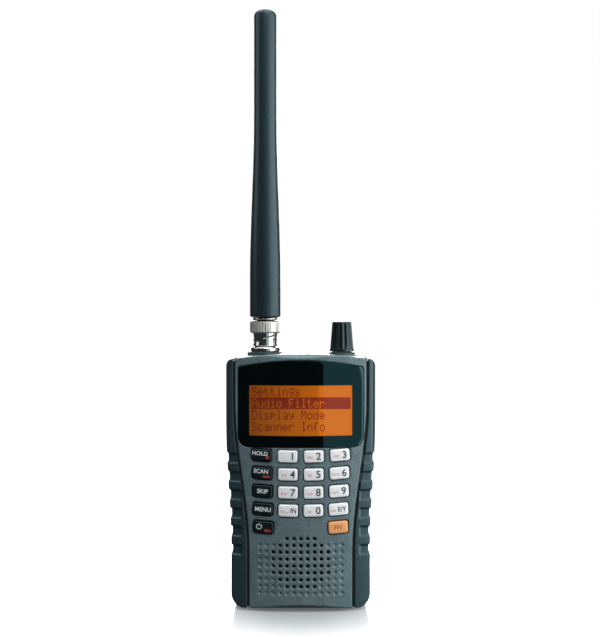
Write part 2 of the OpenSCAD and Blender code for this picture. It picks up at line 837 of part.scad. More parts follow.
// Ribs above and below the selector that it slides between
module selector_guides() {
    for (z = [selector_z - 1.2, selector_z + selector_slide_h + 0.2])
        translate([-selector_w, bay_y - 0.1, z]) cube([2 * selector_w, 1.7, 1]);
}

// ---- ports, fasteners and feet ----

module usb_port() {
    x1 = case_w / 2 - flap_t - 0.4;
    color("silver") difference() {
        translate([x1 - 9, usb_y - usb_t / 2, port_z - usb_h / 2]) cube([9, usb_t, usb_h]);
        translate([x1 - 8, usb_y - usb_t / 2 + 0.4, port_z - usb_h / 2 + 0.4])
            cube([9, usb_t - 0.8, usb_h - 0.8]);
    }
}

module usb_cover() {
    color("#1c2326") translate([case_w / 2 - flap_t, usb_y - flap_w / 2, port_z - flap_h / 2])
        cube([flap_t, flap_w, flap_h]);
}

module headphone_jack() {
    x0 = -case_w / 2 + 0.4;
    color("#15191b") difference() {
        union() {
            translate([0, port_y, port_z]) rod_x(jack_r, x0, x0 + 6);
            translate([x0 + 4.5, port_y - jack_r, port_z - 3.5]) cube([10, 2 * jack_r, 7]);
        }
        translate([0, port_y, port_z]) rod_x(plug_r, x0 - 1, x0 + 13);
    }
}

module case_screws() {
    color("#9aa0a3") at_screws() {
        rod_y(screw_r, split_y - 8, back_y - head_t - 0.2);
        difference() {
            rod_y(head_r, back_y - head_t - 0.3, back_y - 0.5);
            translate([-0.3, back_y - 1.2, -1.4]) cube([0.6, 2, 2.8]);
            translate([-1.4, back_y - 1.2, -0.3]) cube([2.8, 2, 0.6]);
        }
    }
}

module clip_inserts() {
    color("#b5892f") for (x = [-clip_pitch / 2, clip_pitch / 2]) translate([x, 0, clip_z]) difference() {
        rod_y(insert_r, back_y - insert_l, back_y - 0.1);
        rod_y(clip_hole_r, back_y - insert_l + 0.8, case_d);
    }
}

module feet() {
    color("#15181a") for (x = [-17, 17]) translate([x - 2.15, front_y + 8, 0]) cube([4.3, 17, foot_h]);
}

front_case();
rear_case();
left_grip();
right_grip();
display_lens();
lcd_glass();
lcd_frame();
backlight_panel();
keypad_mat();
key_hold();
key_scan();
key_lockout();
key_menu();
key_power();
key_func();
key_1();
key_2();
key_3();
key_4();
key_5();
key_6();
key_7();
key_8();
key_9();
key_0();
key_dot();
key_enter();
key_domes();
front_board();
main_board();
shield_cans();
speaker_frame();
speaker_cone();
volume_knob();
encoder_shaft();
encoder_rotor();
encoder_body();
encoder_nut();
knob_collar();
antenna_sheath();
antenna_coil();
antenna_plug();
antenna_pin();
plug_insulator();
coupling_ring();
antenna_jack();
jack_insulator();
jack_washer();
jack_nut();
battery_door();
battery_cells();
contact_springs();
contact_plates();
battery_selector();
usb_port();
usb_cover();
headphone_jack();
case_screws();
clip_inserts();
feet();
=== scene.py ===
"""Looks of the handheld radio scanner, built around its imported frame.

Lengths inside the classes are millimetres; SI turns them into the frame's metres.
"""

import json
import logging
import math
from dataclasses import dataclass, field
from enum import Enum
from typing import Callable, Iterable, Sequence

import bmesh
import bpy
from mathutils import Matrix, Vector


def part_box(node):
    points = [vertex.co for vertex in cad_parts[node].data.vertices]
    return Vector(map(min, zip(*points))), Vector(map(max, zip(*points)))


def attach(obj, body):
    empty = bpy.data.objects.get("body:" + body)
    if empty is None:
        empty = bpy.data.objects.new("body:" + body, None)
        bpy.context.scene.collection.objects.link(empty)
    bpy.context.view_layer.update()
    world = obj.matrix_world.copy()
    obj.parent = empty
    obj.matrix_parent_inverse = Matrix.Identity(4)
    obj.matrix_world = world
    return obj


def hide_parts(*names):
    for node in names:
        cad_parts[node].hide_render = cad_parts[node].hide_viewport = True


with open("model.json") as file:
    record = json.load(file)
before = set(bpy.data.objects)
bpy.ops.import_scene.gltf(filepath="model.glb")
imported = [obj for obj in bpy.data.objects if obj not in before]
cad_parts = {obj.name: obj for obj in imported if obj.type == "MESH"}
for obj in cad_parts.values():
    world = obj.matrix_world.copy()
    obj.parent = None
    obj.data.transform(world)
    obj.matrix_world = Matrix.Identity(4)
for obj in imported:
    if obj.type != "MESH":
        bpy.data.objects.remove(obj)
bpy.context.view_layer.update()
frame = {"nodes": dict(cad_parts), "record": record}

LOG = logging.getLogger("scanner")
SI = 0.001
CROWN_R = 100.0
FRONT_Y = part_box("front_case")[0].y / SI
KEY_PROUD = 0.7
KEY_SMILE = 0.5
Point = tuple[float, float, float]
Outline = list[tuple[float, float]]


# ---- finishes ----

# How much coarser the clouding is than the grain, and how far it shifts the colour.
CLOUD = 14
CLOUD_SHARE = 0.18
LEAST_ROUGH = 0.02
# Half the width, in millimetres, of the soft edge of painted light between the dim and the bright part of
# the cell.
PAINTED_LIGHT_EDGE = 0.7
MOST_MIRROR = 0.2


def linear(code: str) -> tuple[float, float, float, float]:
    """Turns an sRGB hex value into linear light.

    Args:
        code: Six hex digits, with or without a leading hash.

    Returns:
        Red, green, blue and an alpha of one.
    """
    parts = [int(code.lstrip("#")[i:i + 2], 16) / 255 for i in (0, 2, 4)]
    light = [c / 12.92 if c <= 0.04045 else ((c + 0.055) / 1.055) ** 2.4 for c in parts]
    return (*light, 1.0)


def add(tree: bpy.types.NodeTree, kind: str, settings: dict | None = None,
        inputs: dict | None = None) -> bpy.types.Node:
    """Adds a node to a tree.

    Args:
        tree: The node tree.
        kind: The node's type name.
        settings: Attributes of the node.
        inputs: Values for its sockets, or sockets of other nodes to link from.

    Returns:
        The new node.
    """
    node = tree.nodes.new(kind)
    for key, value in (settings or {}).items():
        setattr(node, key, value)
    for key, value in (inputs or {}).items():
        if isinstance(value, bpy.types.NodeSocket):
            tree.links.new(value, node.inputs[key])
        else:
            node.inputs[key].default_value = value
    return node


@dataclass(frozen=True)
class Finish:
    """One surface finish: its colours, its gloss and the size of its grain in millimetres."""

    name: str
    colour: str
    second: str
    rough: float
    spread: float = 0.08
    grain: float = 0.5
    relief: float = 0.0
    metal: float = 0.0
    tint: str = "ffffff"
    ior: float = 1.5
    glow: float = 0.0
    lamp: str = ""
    # Painted light: a ramp and a step that make the glow dimmer to the left and brighter right of an edge,
    # as if light fell on the cell from the right.
    painted_light_ramp: tuple[float, float, float, float] | None = None
    stretch: Point = (1.0, 1.0, 1.0)

    def material(self) -> bpy.types.Material:
        """Returns the finish's material, building it the first time it is asked for."""
        made = bpy.data.materials.get(self.name)
        return made if made else self._build()

    def _build(self) -> bpy.types.Material:
        """Builds the node tree: grain in colour, in gloss and in fine relief."""
        made = bpy.data.materials.new(self.name)
        made.use_nodes = True
        tree = made.node_tree
        shader = tree.nodes["Principled BSDF"]
        place = add(tree, "ShaderNodeTexCoord")
        turn = add(tree, "ShaderNodeMapping", None,
                   {"Vector": place.outputs["Object"], "Scale": self.stretch})
        grain = add(tree, "ShaderNodeTexNoise", None,
                    {"Vector": turn.outputs["Vector"], "Scale": 1 / (self.grain * SI),
                     "Detail": 3.0, "Roughness": 0.6})
        cloud = add(tree, "ShaderNodeTexNoise", None,
                    {"Vector": turn.outputs["Vector"], "Scale": 1 / (CLOUD * self.grain * SI),
                     "Detail": 2.0})
        both = add(tree, "ShaderNodeMath", {"operation": "MULTIPLY_ADD"},
                   {0: cloud.outputs[0], 1: CLOUD_SHARE, 2: grain.outputs[0]})
        share = add(tree, "ShaderNodeMapRange", None,
                    {"Value": both.outputs[0], "From Min": 0.42, "From Max": 0.76})
        mix = add(tree, "ShaderNodeMix", {"data_type": "RGBA"},
                  {"Factor": share.outputs[0]})
        for socket in mix.inputs:
            if socket.type == "RGBA":
                socket.default_value = linear(self.colour if socket.name == "A" else self.second)
        colour = next(o for o in mix.outputs if o.type == "RGBA")
        gloss = add(tree, "ShaderNodeMapRange", None,
                    {"Value": grain.outputs[0], "From Min": 0.3, "From Max": 0.7,
                     "To Min": max(LEAST_ROUGH, self.rough - self.spread),
                     "To Max": self.rough + self.spread})
        tree.links.new(colour, shader.inputs["Base Color"])
        tree.links.new(gloss.outputs[0], shader.inputs["Roughness"])
        shader.inputs["Metallic"].default_value = self.metal
        if not self.metal:
            shader.inputs["IOR"].default_value = self.ior
            shader.inputs["Specular Tint"].default_value = linear(self.tint)
        if self.glow:
            self._light_up(tree, shader, place)
        if self.relief:
            bump = add(tree, "ShaderNodeBump", None,
                       {"Height": grain.outputs[0], "Distance": self.relief * SI,
                        "Strength": 0.8})
            tree.links.new(bump.outputs[0], shader.inputs["Normal"])
        return made

    def _light_up(self, tree: bpy.types.NodeTree, shader: bpy.types.Node,
                  place: bpy.types.Node) -> None:
        """Makes the surface glow, and with the ramp less and less towards the left: painted light from the
        right, brightest past a soft edge.

        Args:
            tree: The material's tree.
            shader: Its surface shader.
            place: Its texture coordinates.
        """
        shader.inputs["Emission Color"].default_value = linear(self.lamp or self.colour)
        shader.inputs["Emission Strength"].default_value = self.glow
        # Painted light from the right: the glow ramps up along X and steps up past the edge.
        if self.painted_light_ramp:
            left, edge, low, high = self.painted_light_ramp
            across = add(tree, "ShaderNodeSeparateXYZ", None, {0: place.outputs["Object"]})
            slope = add(tree, "ShaderNodeMapRange", None,
                        {"Value": across.outputs["X"], "From Min": left * SI,
                         "From Max": edge * SI, "To Min": self.glow * low,
                         "To Max": self.glow * high})
            step = add(tree, "ShaderNodeMapRange", {"interpolation_type": "SMOOTHSTEP"},
                       {"Value": across.outputs["X"], "From Min": (edge - PAINTED_LIGHT_EDGE) * SI,
                        "From Max": (edge + PAINTED_LIGHT_EDGE) * SI, "To Min": 0.0,
                        "To Max": self.glow * (1 - high)})
            both = add(tree, "ShaderNodeMath", {"operation": "ADD"},
                       {0: slope.outputs[0], 1: step.outputs[0]})
            tree.links.new(both.outputs[0], shader.inputs["Emission Strength"])


@dataclass(frozen=True)
class ClearPane(Finish):
    """A thin clear window: it lets light straight through and mirrors by its IOR.

    The mirror has an upper limit, because light that leaves the far face at a slant is
    not bent here and would be thrown back in full, which would hide the cell.
    """

    def _build(self) -> bpy.types.Material:
        """Builds the mix of clear and mirror."""
        made = bpy.data.materials.new(self.name)
        made.use_nodes = True
        tree = made.node_tree
        tree.nodes.clear()
        edge = add(tree, "ShaderNodeFresnel", None, {"IOR": self.ior})
        share = add(tree, "ShaderNodeMath", {"operation": "MINIMUM"}, {0: edge.outputs[0], 1: MOST_MIRROR})
        through = add(tree, "ShaderNodeBsdfTransparent", None, {"Color": linear(self.colour)})
        mirror = add(tree, "ShaderNodeBsdfGlossy", None,
                     {"Color": linear(self.tint), "Roughness": self.rough})
        mix = add(tree, "ShaderNodeMixShader", None,
                  {0: share.outputs[0], 1: through.outputs[0], 2: mirror.outputs[0]})
        add(tree, "ShaderNodeOutputMaterial", None, {"Surface": mix.outputs[0]})
        return made


# Spark-eroded ABS: a fine pebble that breaks highlights into a soft, even sheen.
PANEL_ABS = Finish("spark_textured_abs", "3f4d52", "6d7e83", 0.42, 0.1, 0.42, 0.035, tint="c4e6ea")
# Smoother ABS of the rear shell: the same slate, tighter grain.
SHELL_ABS = Finish("fine_matt_abs", "161d20", "20292c", 0.48, 0.08, 0.3, 0.02, tint="c4e6ea")
# Grips are moulded smooth, so they show long soft streaks of light.
GRIP_ABS = Finish("satin_grip_abs", "243237", "2c3c42", 0.3, 0.06, 0.6, 0.006, tint="c0e8ee")
# Acrylic printed black on the back: a deep mirror-like black.
BLACK_ACRYLIC = Finish("black_printed_acrylic", "020303", "040506", 0.03, 0.01, 6.0, tint="8fd8e0",
                       ior=1.55)
# Cast acrylic of the window.
CLEAR_ACRYLIC = ClearPane("clear_acrylic", "fbfdfd", "ffffff", 0.02, tint="7f8889", ior=1.49)
# The lit liquid crystal cell: amber, a little uneven; its glow carries painted light, dimmer towards the
# left and brighter past an edge on the right.
AMBER_CELL = Finish("amber_backlit_cell", "1c0e04", "241205", 0.35, 0.05, 3.0, glow=1.0,
                    lamp="dc7006", painted_light_ramp=(-23.0, 8.0, 0.3, 0.72))
# Segments that the cell turns dark still glow dull red, with the same painted light from the right.
DARK_SEGMENT = Finish("dark_red_segment", "140402", "1c0604", 0.4, 0.05, 1.0, glow=1.0,
                      lamp="92260a", painted_light_ramp=(-23.0, 8.0, 0.4, 0.8))
WHITE_KEY = Finish("pale_silicone_keycap", "d9dbdd", "e4e5e7", 0.38, 0.06, 0.5, 0.004)
DARK_KEY = Finish("slate_silicone_keycap", "0b1215", "12191d", 0.36, 0.08, 0.4, 0.006, tint="c4e6ea")
AMBER_KEY = Finish("amber_keycap", "d8945c", "e09e66", 0.4, 0.06, 0.6, 0.004)
# Pad-printed inks on the keys.
DARK_INK = Finish("charcoal_pad_print", "3c4042", "484c4e", 0.5, 0.05, 0.3)
PINK_INK = Finish("rose_pad_print", "d98a90", "e0989c", 0.5, 0.05, 0.3)
WHITE_INK = Finish("white_pad_print", "c9cfd0", "d6dadb", 0.5, 0.05, 0.3)
RED_INK = Finish("red_pad_print", "b8403c", "c44c46", 0.5, 0.05, 0.3)
# Moulded rubber with the slight bloom of a well-handled aerial.
AERIAL_RUBBER = Finish("satin_aerial_rubber", "141e22", "1d292d", 0.36, 0.05, 0.7, 0.008,
                       tint="b6dfe8", stretch=(1.0, 1.0, 0.4))
KNOB_ABS = Finish("black_knob_abs", "05090a", "0a1012", 0.34, 0.06, 0.5, 0.006, tint="bfe4ea")
FOOT_RUBBER = Finish("matt_foot_rubber", "14181a", "1c2123", 0.7, 0.08, 0.4, 0.02)
# Bright nickel plate: neutral, with faint turning marks round the axis.
NICKEL = Finish("turned_bright_nickel", "a3a29d", "b6b5b0", 0.14, 0.05, 0.25, 0.002, metal=1.0,
                stretch=(0.05, 0.05, 1.0))
# The same plate over a fine knurl, which scatters what it mirrors.
KNURLED_NICKEL = Finish("knurled_bright_nickel", "cfcec8", "dcdbd5", 0.5, 0.05, 0.25, 0.002, metal=1.0)
BRASS = Finish("machined_brass", "b98d44", "caa056", 0.28, 0.06, 0.3, metal=1.0)
GOLD = Finish("gold_plated_contact", "d8a94a", "e2b65a", 0.2, 0.05, 0.3, metal=1.0)
ZINC = Finish("zinc_plated_steel", "8e9395", "a2a7a9", 0.32, 0.06, 0.3, metal=1.0)
TINPLATE = Finish("drawn_tinplate", "a9acac", "bcbfbf", 0.3, 0.06, 1.5, metal=1.0)
COPPER = Finish("enamelled_copper", "a4582c", "b86a3a", 0.3, 0.05, 0.3, metal=1.0)
PTFE = Finish("turned_ptfe", "e6e6e0", "f0f0ec", 0.45, 0.05, 0.5)
SOLDER_MASK = Finish("green_solder_mask", "12502a", "1a6234", 0.35, 0.08, 1.2, 0.02)
NYLON = Finish("moulded_nylon", "1c4a7c", "24568c", 0.45, 0.06, 0.5)
PULP = Finish("pressed_cone_paper", "1c1c1e", "262628", 0.8, 0.05, 0.4, 0.05)
SILICONE = Finish("grey_silicone", "9aa0a0", "a8aeae", 0.55, 0.05, 0.5)
LIGHT_GUIDE = Finish("frosted_light_guide", "ffe0a8", "fff0cc", 0.6, 0.05, 2.0)
CELL_WRAP = Finish("printed_cell_wrap", "1c5a40", "24684c", 0.25, 0.05, 2.0)
ACETAL = Finish("red_acetal", "9a2418", "aa3020", 0.4, 0.05, 0.5)

SLOT_FINISH = {
    "panel_plastic": PANEL_ABS, "shell_plastic": SHELL_ABS, "grip_plastic": GRIP_ABS,
    "lens_acrylic": BLACK_ACRYLIC, "lcd_amber": AMBER_CELL, "backlight": LIGHT_GUIDE,
    "silicone": SILICONE, "board": SOLDER_MASK, "tinplate": TINPLATE, "cone": PULP,
    "encoder_plastic": NYLON, "insulator": PTFE, "nickel": NICKEL, "brass": BRASS,
    "screw_steel": ZINC, "copper_wire": COPPER, "cell_wrap": CELL_WRAP,
    "jack_plastic": SHELL_ABS, "selector_plastic": ACETAL, "rubber": FOOT_RUBBER,
    "antenna_rubber": AERIAL_RUBBER, "knob_plastic": KNOB_ABS, "key_dark": DARK_KEY,
    "key_light": WHITE_KEY, "key_amber": AMBER_KEY,
}


# ---- making and registering meshes ----


def span(node: str) -> tuple[Vector, Vector]:
    """Returns the low and the high corner of a node's box in millimetres."""
    low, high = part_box(node)
    return low / SI, high / SI


def placed(name: str, data: bpy.types.ID) -> bpy.types.Object:
    """Puts mesh, curve, light or camera data into the scene as an object."""
    made = bpy.data.objects.new(name, data)
    bpy.context.scene.collection.objects.link(made)
    return made


def crown_y(x: float, under: float = 0.0) -> float:
    """Returns the depth of the crowned front at x, this far under its surface."""
    radius = CROWN_R - under
    return FRONT_Y + CROWN_R - math.sqrt(radius * radius - x * x)


def body_of(node: str) -> str:
    """Returns the name of the body that a node belongs to."""
    bodies = frame["record"]["behaviour"]["bodies"]
    return next(body for body, nodes in bodies.items() if node in nodes)


def slot_of(node: str) -> str:
    """Returns the material slot that the record gives a node."""
    rows = frame["record"]["subparts"]
    return next(row["material_slot"] for row in rows if row["node"] == node)


def register(piece: bpy.types.Object, finish: Finish, node: str, stands_for: bool = True) -> None:
    """Dresses a piece and ties it to the frame.

    Args:
        piece: The finished object, at the origin.
        finish: Its finish.
        node: The node that it belongs to or stands for.
        stands_for: Whether it replaces that node.
    """
    piece.data.materials.clear()
    piece.data.materials.append(finish.material())
    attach(piece, body_of(node))
    if stands_for:
        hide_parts(node)
    LOG.info("%s: %d faces", piece.name, len(piece.data.polygons))


def smooth(mesh: bpy.types.Mesh, degrees: float = 35.0) -> None:
    """Shades a mesh smooth, with edges sharper than the angle kept crisp."""
    mesh.shade_smooth()
    mesh.set_sharp_from_angle(angle=math.radians(degrees))


def mesh_piece(name: str, points: Iterable[Point], faces: Sequence[Sequence[int]],
               degrees: float = 35.0) -> bpy.types.Object:
    """Makes an object from points in millimetres.

    Args:
        name: The object's name.
        points: Its vertices.
        faces: Vertex numbers of each face.
        degrees: Angle above which an edge stays crisp.

    Returns:
        The linked object, with its normals outwards.
    """
    mesh = bpy.data.meshes.new(name)
    mesh.from_pydata([tuple(c * SI for c in p) for p in points], [], [list(f) for f in faces])
    work = bmesh.new()
    work.from_mesh(mesh)
    bmesh.ops.remove_doubles(work, verts=work.verts, dist=1e-7)
    bmesh.ops.dissolve_degenerate(work, edges=work.edges, dist=1e-8)
    bmesh.ops.recalc_face_normals(work, faces=work.faces)
    work.to_mesh(mesh)
    work.free()
    smooth(mesh, degrees)
    return placed(name, mesh)


def rings_to_faces(rings: int, around: int, start: int = 0, closed: bool = False) -> list[list[int]]:
    """Returns quads between successive rings of vertices.

    Args:
        rings: Number of rings.
        around: Vertices in each ring.
        start: Number of the first vertex.
        closed: Whether the last ring joins the first.
    """
    pairs = rings if closed else rings - 1
    faces = []
    for i in range(pairs):
        low, high = start + i * around, start + (i + 1) % rings * around
        faces += [[low + j, low + (j + 1) % around, high + (j + 1) % around, high + j]
                  for j in range(around)]
    return faces


def revolve(name: str, profile: Outline, centre: tuple[float, float], steps: int = 96,
            wave: Callable[[float, float, float], float] | None = None) -> bpy.types.Object:
    """Turns a closed profile of radius and height round an upright axis.

    Args:
        name: The object's name.
        profile: Radius and height of each corner, as a closed loop.
        centre: Where the axis stands.
        steps: Points round the axis.
        wave: Changes a radius, from angle, radius and height.

    Returns:
        The turned object.
    """
    points = []
    for radius, height in profile:
        for j in range(steps):
            angle = math.tau * j / steps
            r = wave(angle, radius, height) if wave else radius
            points.append((centre[0] + r * math.cos(angle), centre[1] + r * math.sin(angle), height))
    return mesh_piece(name, points, rings_to_faces(len(profile), steps, closed=True))


def fillet(profile: Outline, radius: float, steps: int = 4) -> Outline:
    """Rounds each corner of a closed profile.

    Args:
        profile: The corners.
        radius: Largest radius; a short side lowers it.
        steps: Points on each round.
    """
    rounded = []
    count = len(profile)
    for i in range(count):
        corner = Vector(profile[i])
        before, after = Vector(profile[i - 1]) - corner, Vector(profile[(i + 1) % count]) - corner
        reach = min(radius, before.length * 0.45, after.length * 0.45)
        if reach < 1e-4 or corner.x < 1e-6:
            rounded.append(tuple(corner))
            continue
        first, last = corner + before.normalized() * reach, corner + after.normalized() * reach
        for k in range(steps + 1):
            t = k / steps
            spot = first * (1 - t) ** 2 + corner * 2 * t * (1 - t) + last * t * t
            rounded.append(tuple(spot))
    return rounded


def rounded_rect(width: float, height: float, radius: float, steps: int = 6) -> Outline:
    """Returns the outline of a rectangle with round corners, round the origin."""
    radius = max(radius, 0.02)
    points = []
    for k, (sx, sz) in enumerate(((1, 1), (-1, 1), (-1, -1), (1, -1))):
        for j in range(steps + 1):
            angle = math.radians(90 * k + 90 * j / steps)
            points.append((sx * (width / 2 - radius) + radius * math.cos(angle),
                           sz * (height / 2 - radius) + radius * math.sin(angle)))
    return points


class Softness(Enum):
    """How a moulded shell is remeshed: voxel in millimetres and passes of smoothing."""

    CRISP = (0.24, 2)
    ROUNDED = (0.24, 12)
    MOULDED = (0.3, 4)
    BROAD = (0.42, 4)


def soften(node: str, name: str, softness: Softness, limit: int,
           cutter: bpy.types.Object | None = None) -> bpy.types.Object:
    """Copies a CAD shell with the small round edges that a moulding has.

    Args:
        node: The CAD node.
        name: The new object's name.
        softness: How fine the result is.
        limit: Most triangles that the piece may have.
        cutter: A solid to cut away first, which is then removed.

    Returns:
        The new object.
    """
    voxel, passes = softness.value
    mesh = frame["nodes"][node].data.copy()
    work = bmesh.new()
    work.from_mesh(mesh)
    bmesh.ops.remove_doubles(work, verts=work.verts, dist=2e-6)
    work.to_mesh(mesh)
    work.free()
    rough = placed(name + "_rough", mesh)
    if cutter:
        cut = rough.modifiers.new("cut", "BOOLEAN")
        cut.operation, cut.solver, cut.object = "DIFFERENCE", "EXACT", cutter
    remesh = rough.modifiers.new("remesh", "REMESH")
    remesh.mode = "VOXEL"
    remesh.voxel_size = voxel * SI
    ease = rough.modifiers.new("ease", "SMOOTH")
    ease.factor = 0.5
    ease.iterations = passes
    made = baked(rough, name)
    if cutter:
        bpy.data.objects.remove(cutter)
    triangles = sum(len(p.vertices) - 2 for p in made.data.polygons)
    if triangles > limit:
        fewer = made.modifiers.new("fewer", "DECIMATE")
        fewer.ratio = limit / triangles
        thick = made
        made = baked(thick, name)
    made.data.materials.clear()
    smooth(made.data, 60)
    return made


def baked(source: bpy.types.Object, name: str) -> bpy.types.Object:
    """Replaces an object with modifiers by a plain one.

    Args:
        source: The object with modifiers, which is removed.
        name: The plain object's name.
    """
    bpy.context.view_layer.update()
    graph = bpy.context.evaluated_depsgraph_get()
    mesh = bpy.data.meshes.new_from_object(source.evaluated_get(graph))
    bpy.data.objects.remove(source)
    mesh.name = name
    return placed(name, mesh)


class Layout(Enum):
    """What a repeated bit follows."""

    RING = "ring"
    LINE = "line"
    DOTS = "dots"
    HOLES = "holes"


@dataclass
class Repeater:
    """Geometry Nodes that repeat a small solid round a ring, along a line or on given dots."""

    layout: Layout
    count: int = 1
    radius: float = 1.0
    pitch: float = 1.0
    size: Point = (1.0, 1.0, 1.0)
    dots: list[Point] = field(default_factory=list)

    def _tree(self, name: str) -> bpy.types.NodeTree:
        """Builds the tree, with a named input for each size."""
        tree = bpy.data.node_groups.new(name, "GeometryNodeTree")
        face = tree.interface
        for title, kind in (("Geometry", "Geometry"), ("Count", "Int"), ("Radius", "Float"),
                            ("Pitch", "Float"), ("Size", "Vector"), ("Finish", "Material")):
            face.new_socket(title, in_out="INPUT", socket_type="NodeSocket" + kind)
        face.new_socket("Geometry", in_out="OUTPUT", socket_type="NodeSocketGeometry")
        given = add(tree, "NodeGroupInput").outputs
        spin = None
        if self.layout is Layout.RING:
            along = add(tree, "GeometryNodeMeshCircle", None,
                        {"Vertices": given["Count"], "Radius": given["Radius"]}).outputs["Mesh"]
            index = add(tree, "GeometryNodeInputIndex").outputs[0]
            step = add(tree, "ShaderNodeMath", {"operation": "DIVIDE"},
                       {0: math.tau, 1: given["Count"]}).outputs[0]
            angle = add(tree, "ShaderNodeMath", {"operation": "MULTIPLY"},
                        {0: index, 1: step}).outputs[0]
            spin = add(tree, "ShaderNodeCombineXYZ", None, {"Z": angle}).outputs[0]
        elif self.layout is Layout.LINE:
            offset = add(tree, "ShaderNodeCombineXYZ", None, {"Z": given["Pitch"]}).outputs[0]
            along = add(tree, "GeometryNodeMeshLine", None,
                        {"Count": given["Count"], "Offset": offset}).outputs["Mesh"]
        else:
            along = given["Geometry"]
        if self.layout in (Layout.RING, Layout.HOLES):
            sides = add(tree, "ShaderNodeSeparateXYZ", None, {0: given["Size"]}).outputs
            around = 20 if self.layout is Layout.HOLES else 10
            bit = add(tree, "GeometryNodeMeshCylinder", None,
                      {"Vertices": around, "Radius": sides["X"], "Depth": sides["Z"]}).outputs["Mesh"]
            if self.layout is Layout.HOLES:
                spin = add(tree, "ShaderNodeCombineXYZ", None, {"X": math.pi / 2}).outputs[0]
        else:
            bit = add(tree, "GeometryNodeMeshCube", None, {"Size": given["Size"]}).outputs["Mesh"]
        spread = add(tree, "GeometryNodeInstanceOnPoints", None,
                     {"Points": along, "Instance": bit})
        if spin:
            tree.links.new(spin, spread.inputs["Rotation"])
        real = add(tree, "GeometryNodeRealizeInstances", None, {0: spread.outputs[0]})
        dress = add(tree, "GeometryNodeSetMaterial", None,
                    {"Geometry": real.outputs[0], "Material": given["Finish"]})
        add(tree, "NodeGroupOutput", None, {"Geometry": dress.outputs[0]})
        return tree

    def build(self, name: str, centre: Point, finish: Finish) -> bpy.types.Object:
        """Runs the tree and returns a plain object.

        Args:
            name: The object's name.
            centre: Where the pattern's own origin goes, in millimetres.
            finish: What the pieces are made of.
        """
        mesh = bpy.data.meshes.new(name)
        mesh.from_pydata([tuple(c * SI for c in dot) for dot in self.dots], [], [])
        seat = placed(name + "_seat", mesh)
        tree = self._tree(name + "_nodes")
        modifier = seat.modifiers.new("repeat", "NODES")
        modifier.node_group = tree
        values = {"Count": self.count, "Radius": self.radius * SI, "Pitch": self.pitch * SI,
                  "Size": tuple(s * SI for s in self.size), "Finish": finish.material()}
        for item in tree.interface.items_tree:
            if item.in_out == "INPUT" and item.name in values:
                modifier[item.identifier] = values[item.name]
        made = baked(seat, name)
        made.data.transform(Matrix.Translation(Vector(centre) * SI))
        smooth(made.data, 50)
        return made


def joined(name: str, pieces: list[bpy.types.Object], degrees: float = 35.0) -> bpy.types.Object:
    """Joins objects that lie at the origin into one.

    Args:
        name: The result's name.
        pieces: Objects to join, which are removed.
        degrees: Angle above which an edge stays crisp.
    """
    work = bmesh.new()
    for piece in pieces:
        work.from_mesh(piece.data)
        bpy.data.objects.remove(piece)
    mesh = bpy.data.meshes.new(name)
    work.to_mesh(mesh)
    work.free()
    smooth(mesh, degrees)
    return placed(name, mesh)


# ---- lettering ----


@dataclass(frozen=True)
class Print:
    """A short printed word or sign: its words, height, place on the key and ink."""

    words: str
    height: float
    x: float
    z: float
    ink: Finish


def print_mesh(mark: Print, name: str, lay: Callable[[float, float], Point]) -> bpy.types.Object:
    """Sets a word as thin raised ink on a surface.

    Args:
        mark: What to print.
        name: The object's name.
        lay: Turns a place on the surface into a point; the ink stands out along -Y.

    Returns:
        The object.
    """
    curve = bpy.data.curves.new(name, "FONT")
    curve.body = mark.words
    curve.size = mark.height
    curve.align_x = "CENTER"
    curve.align_y = "CENTER"
    curve.resolution_u = 3
    curve.extrude = 0.02
    curve.offset = 0.02 * mark.height
    made = baked(placed(name, curve), name)
    for vertex in made.data.vertices:
        x, y, z = lay(mark.x + vertex.co.x, mark.z + vertex.co.y)
        vertex.co = Vector((x, y - 0.01 - vertex.co.z, z)) * SI
    made.data.update()
    return made


# ---- case ----


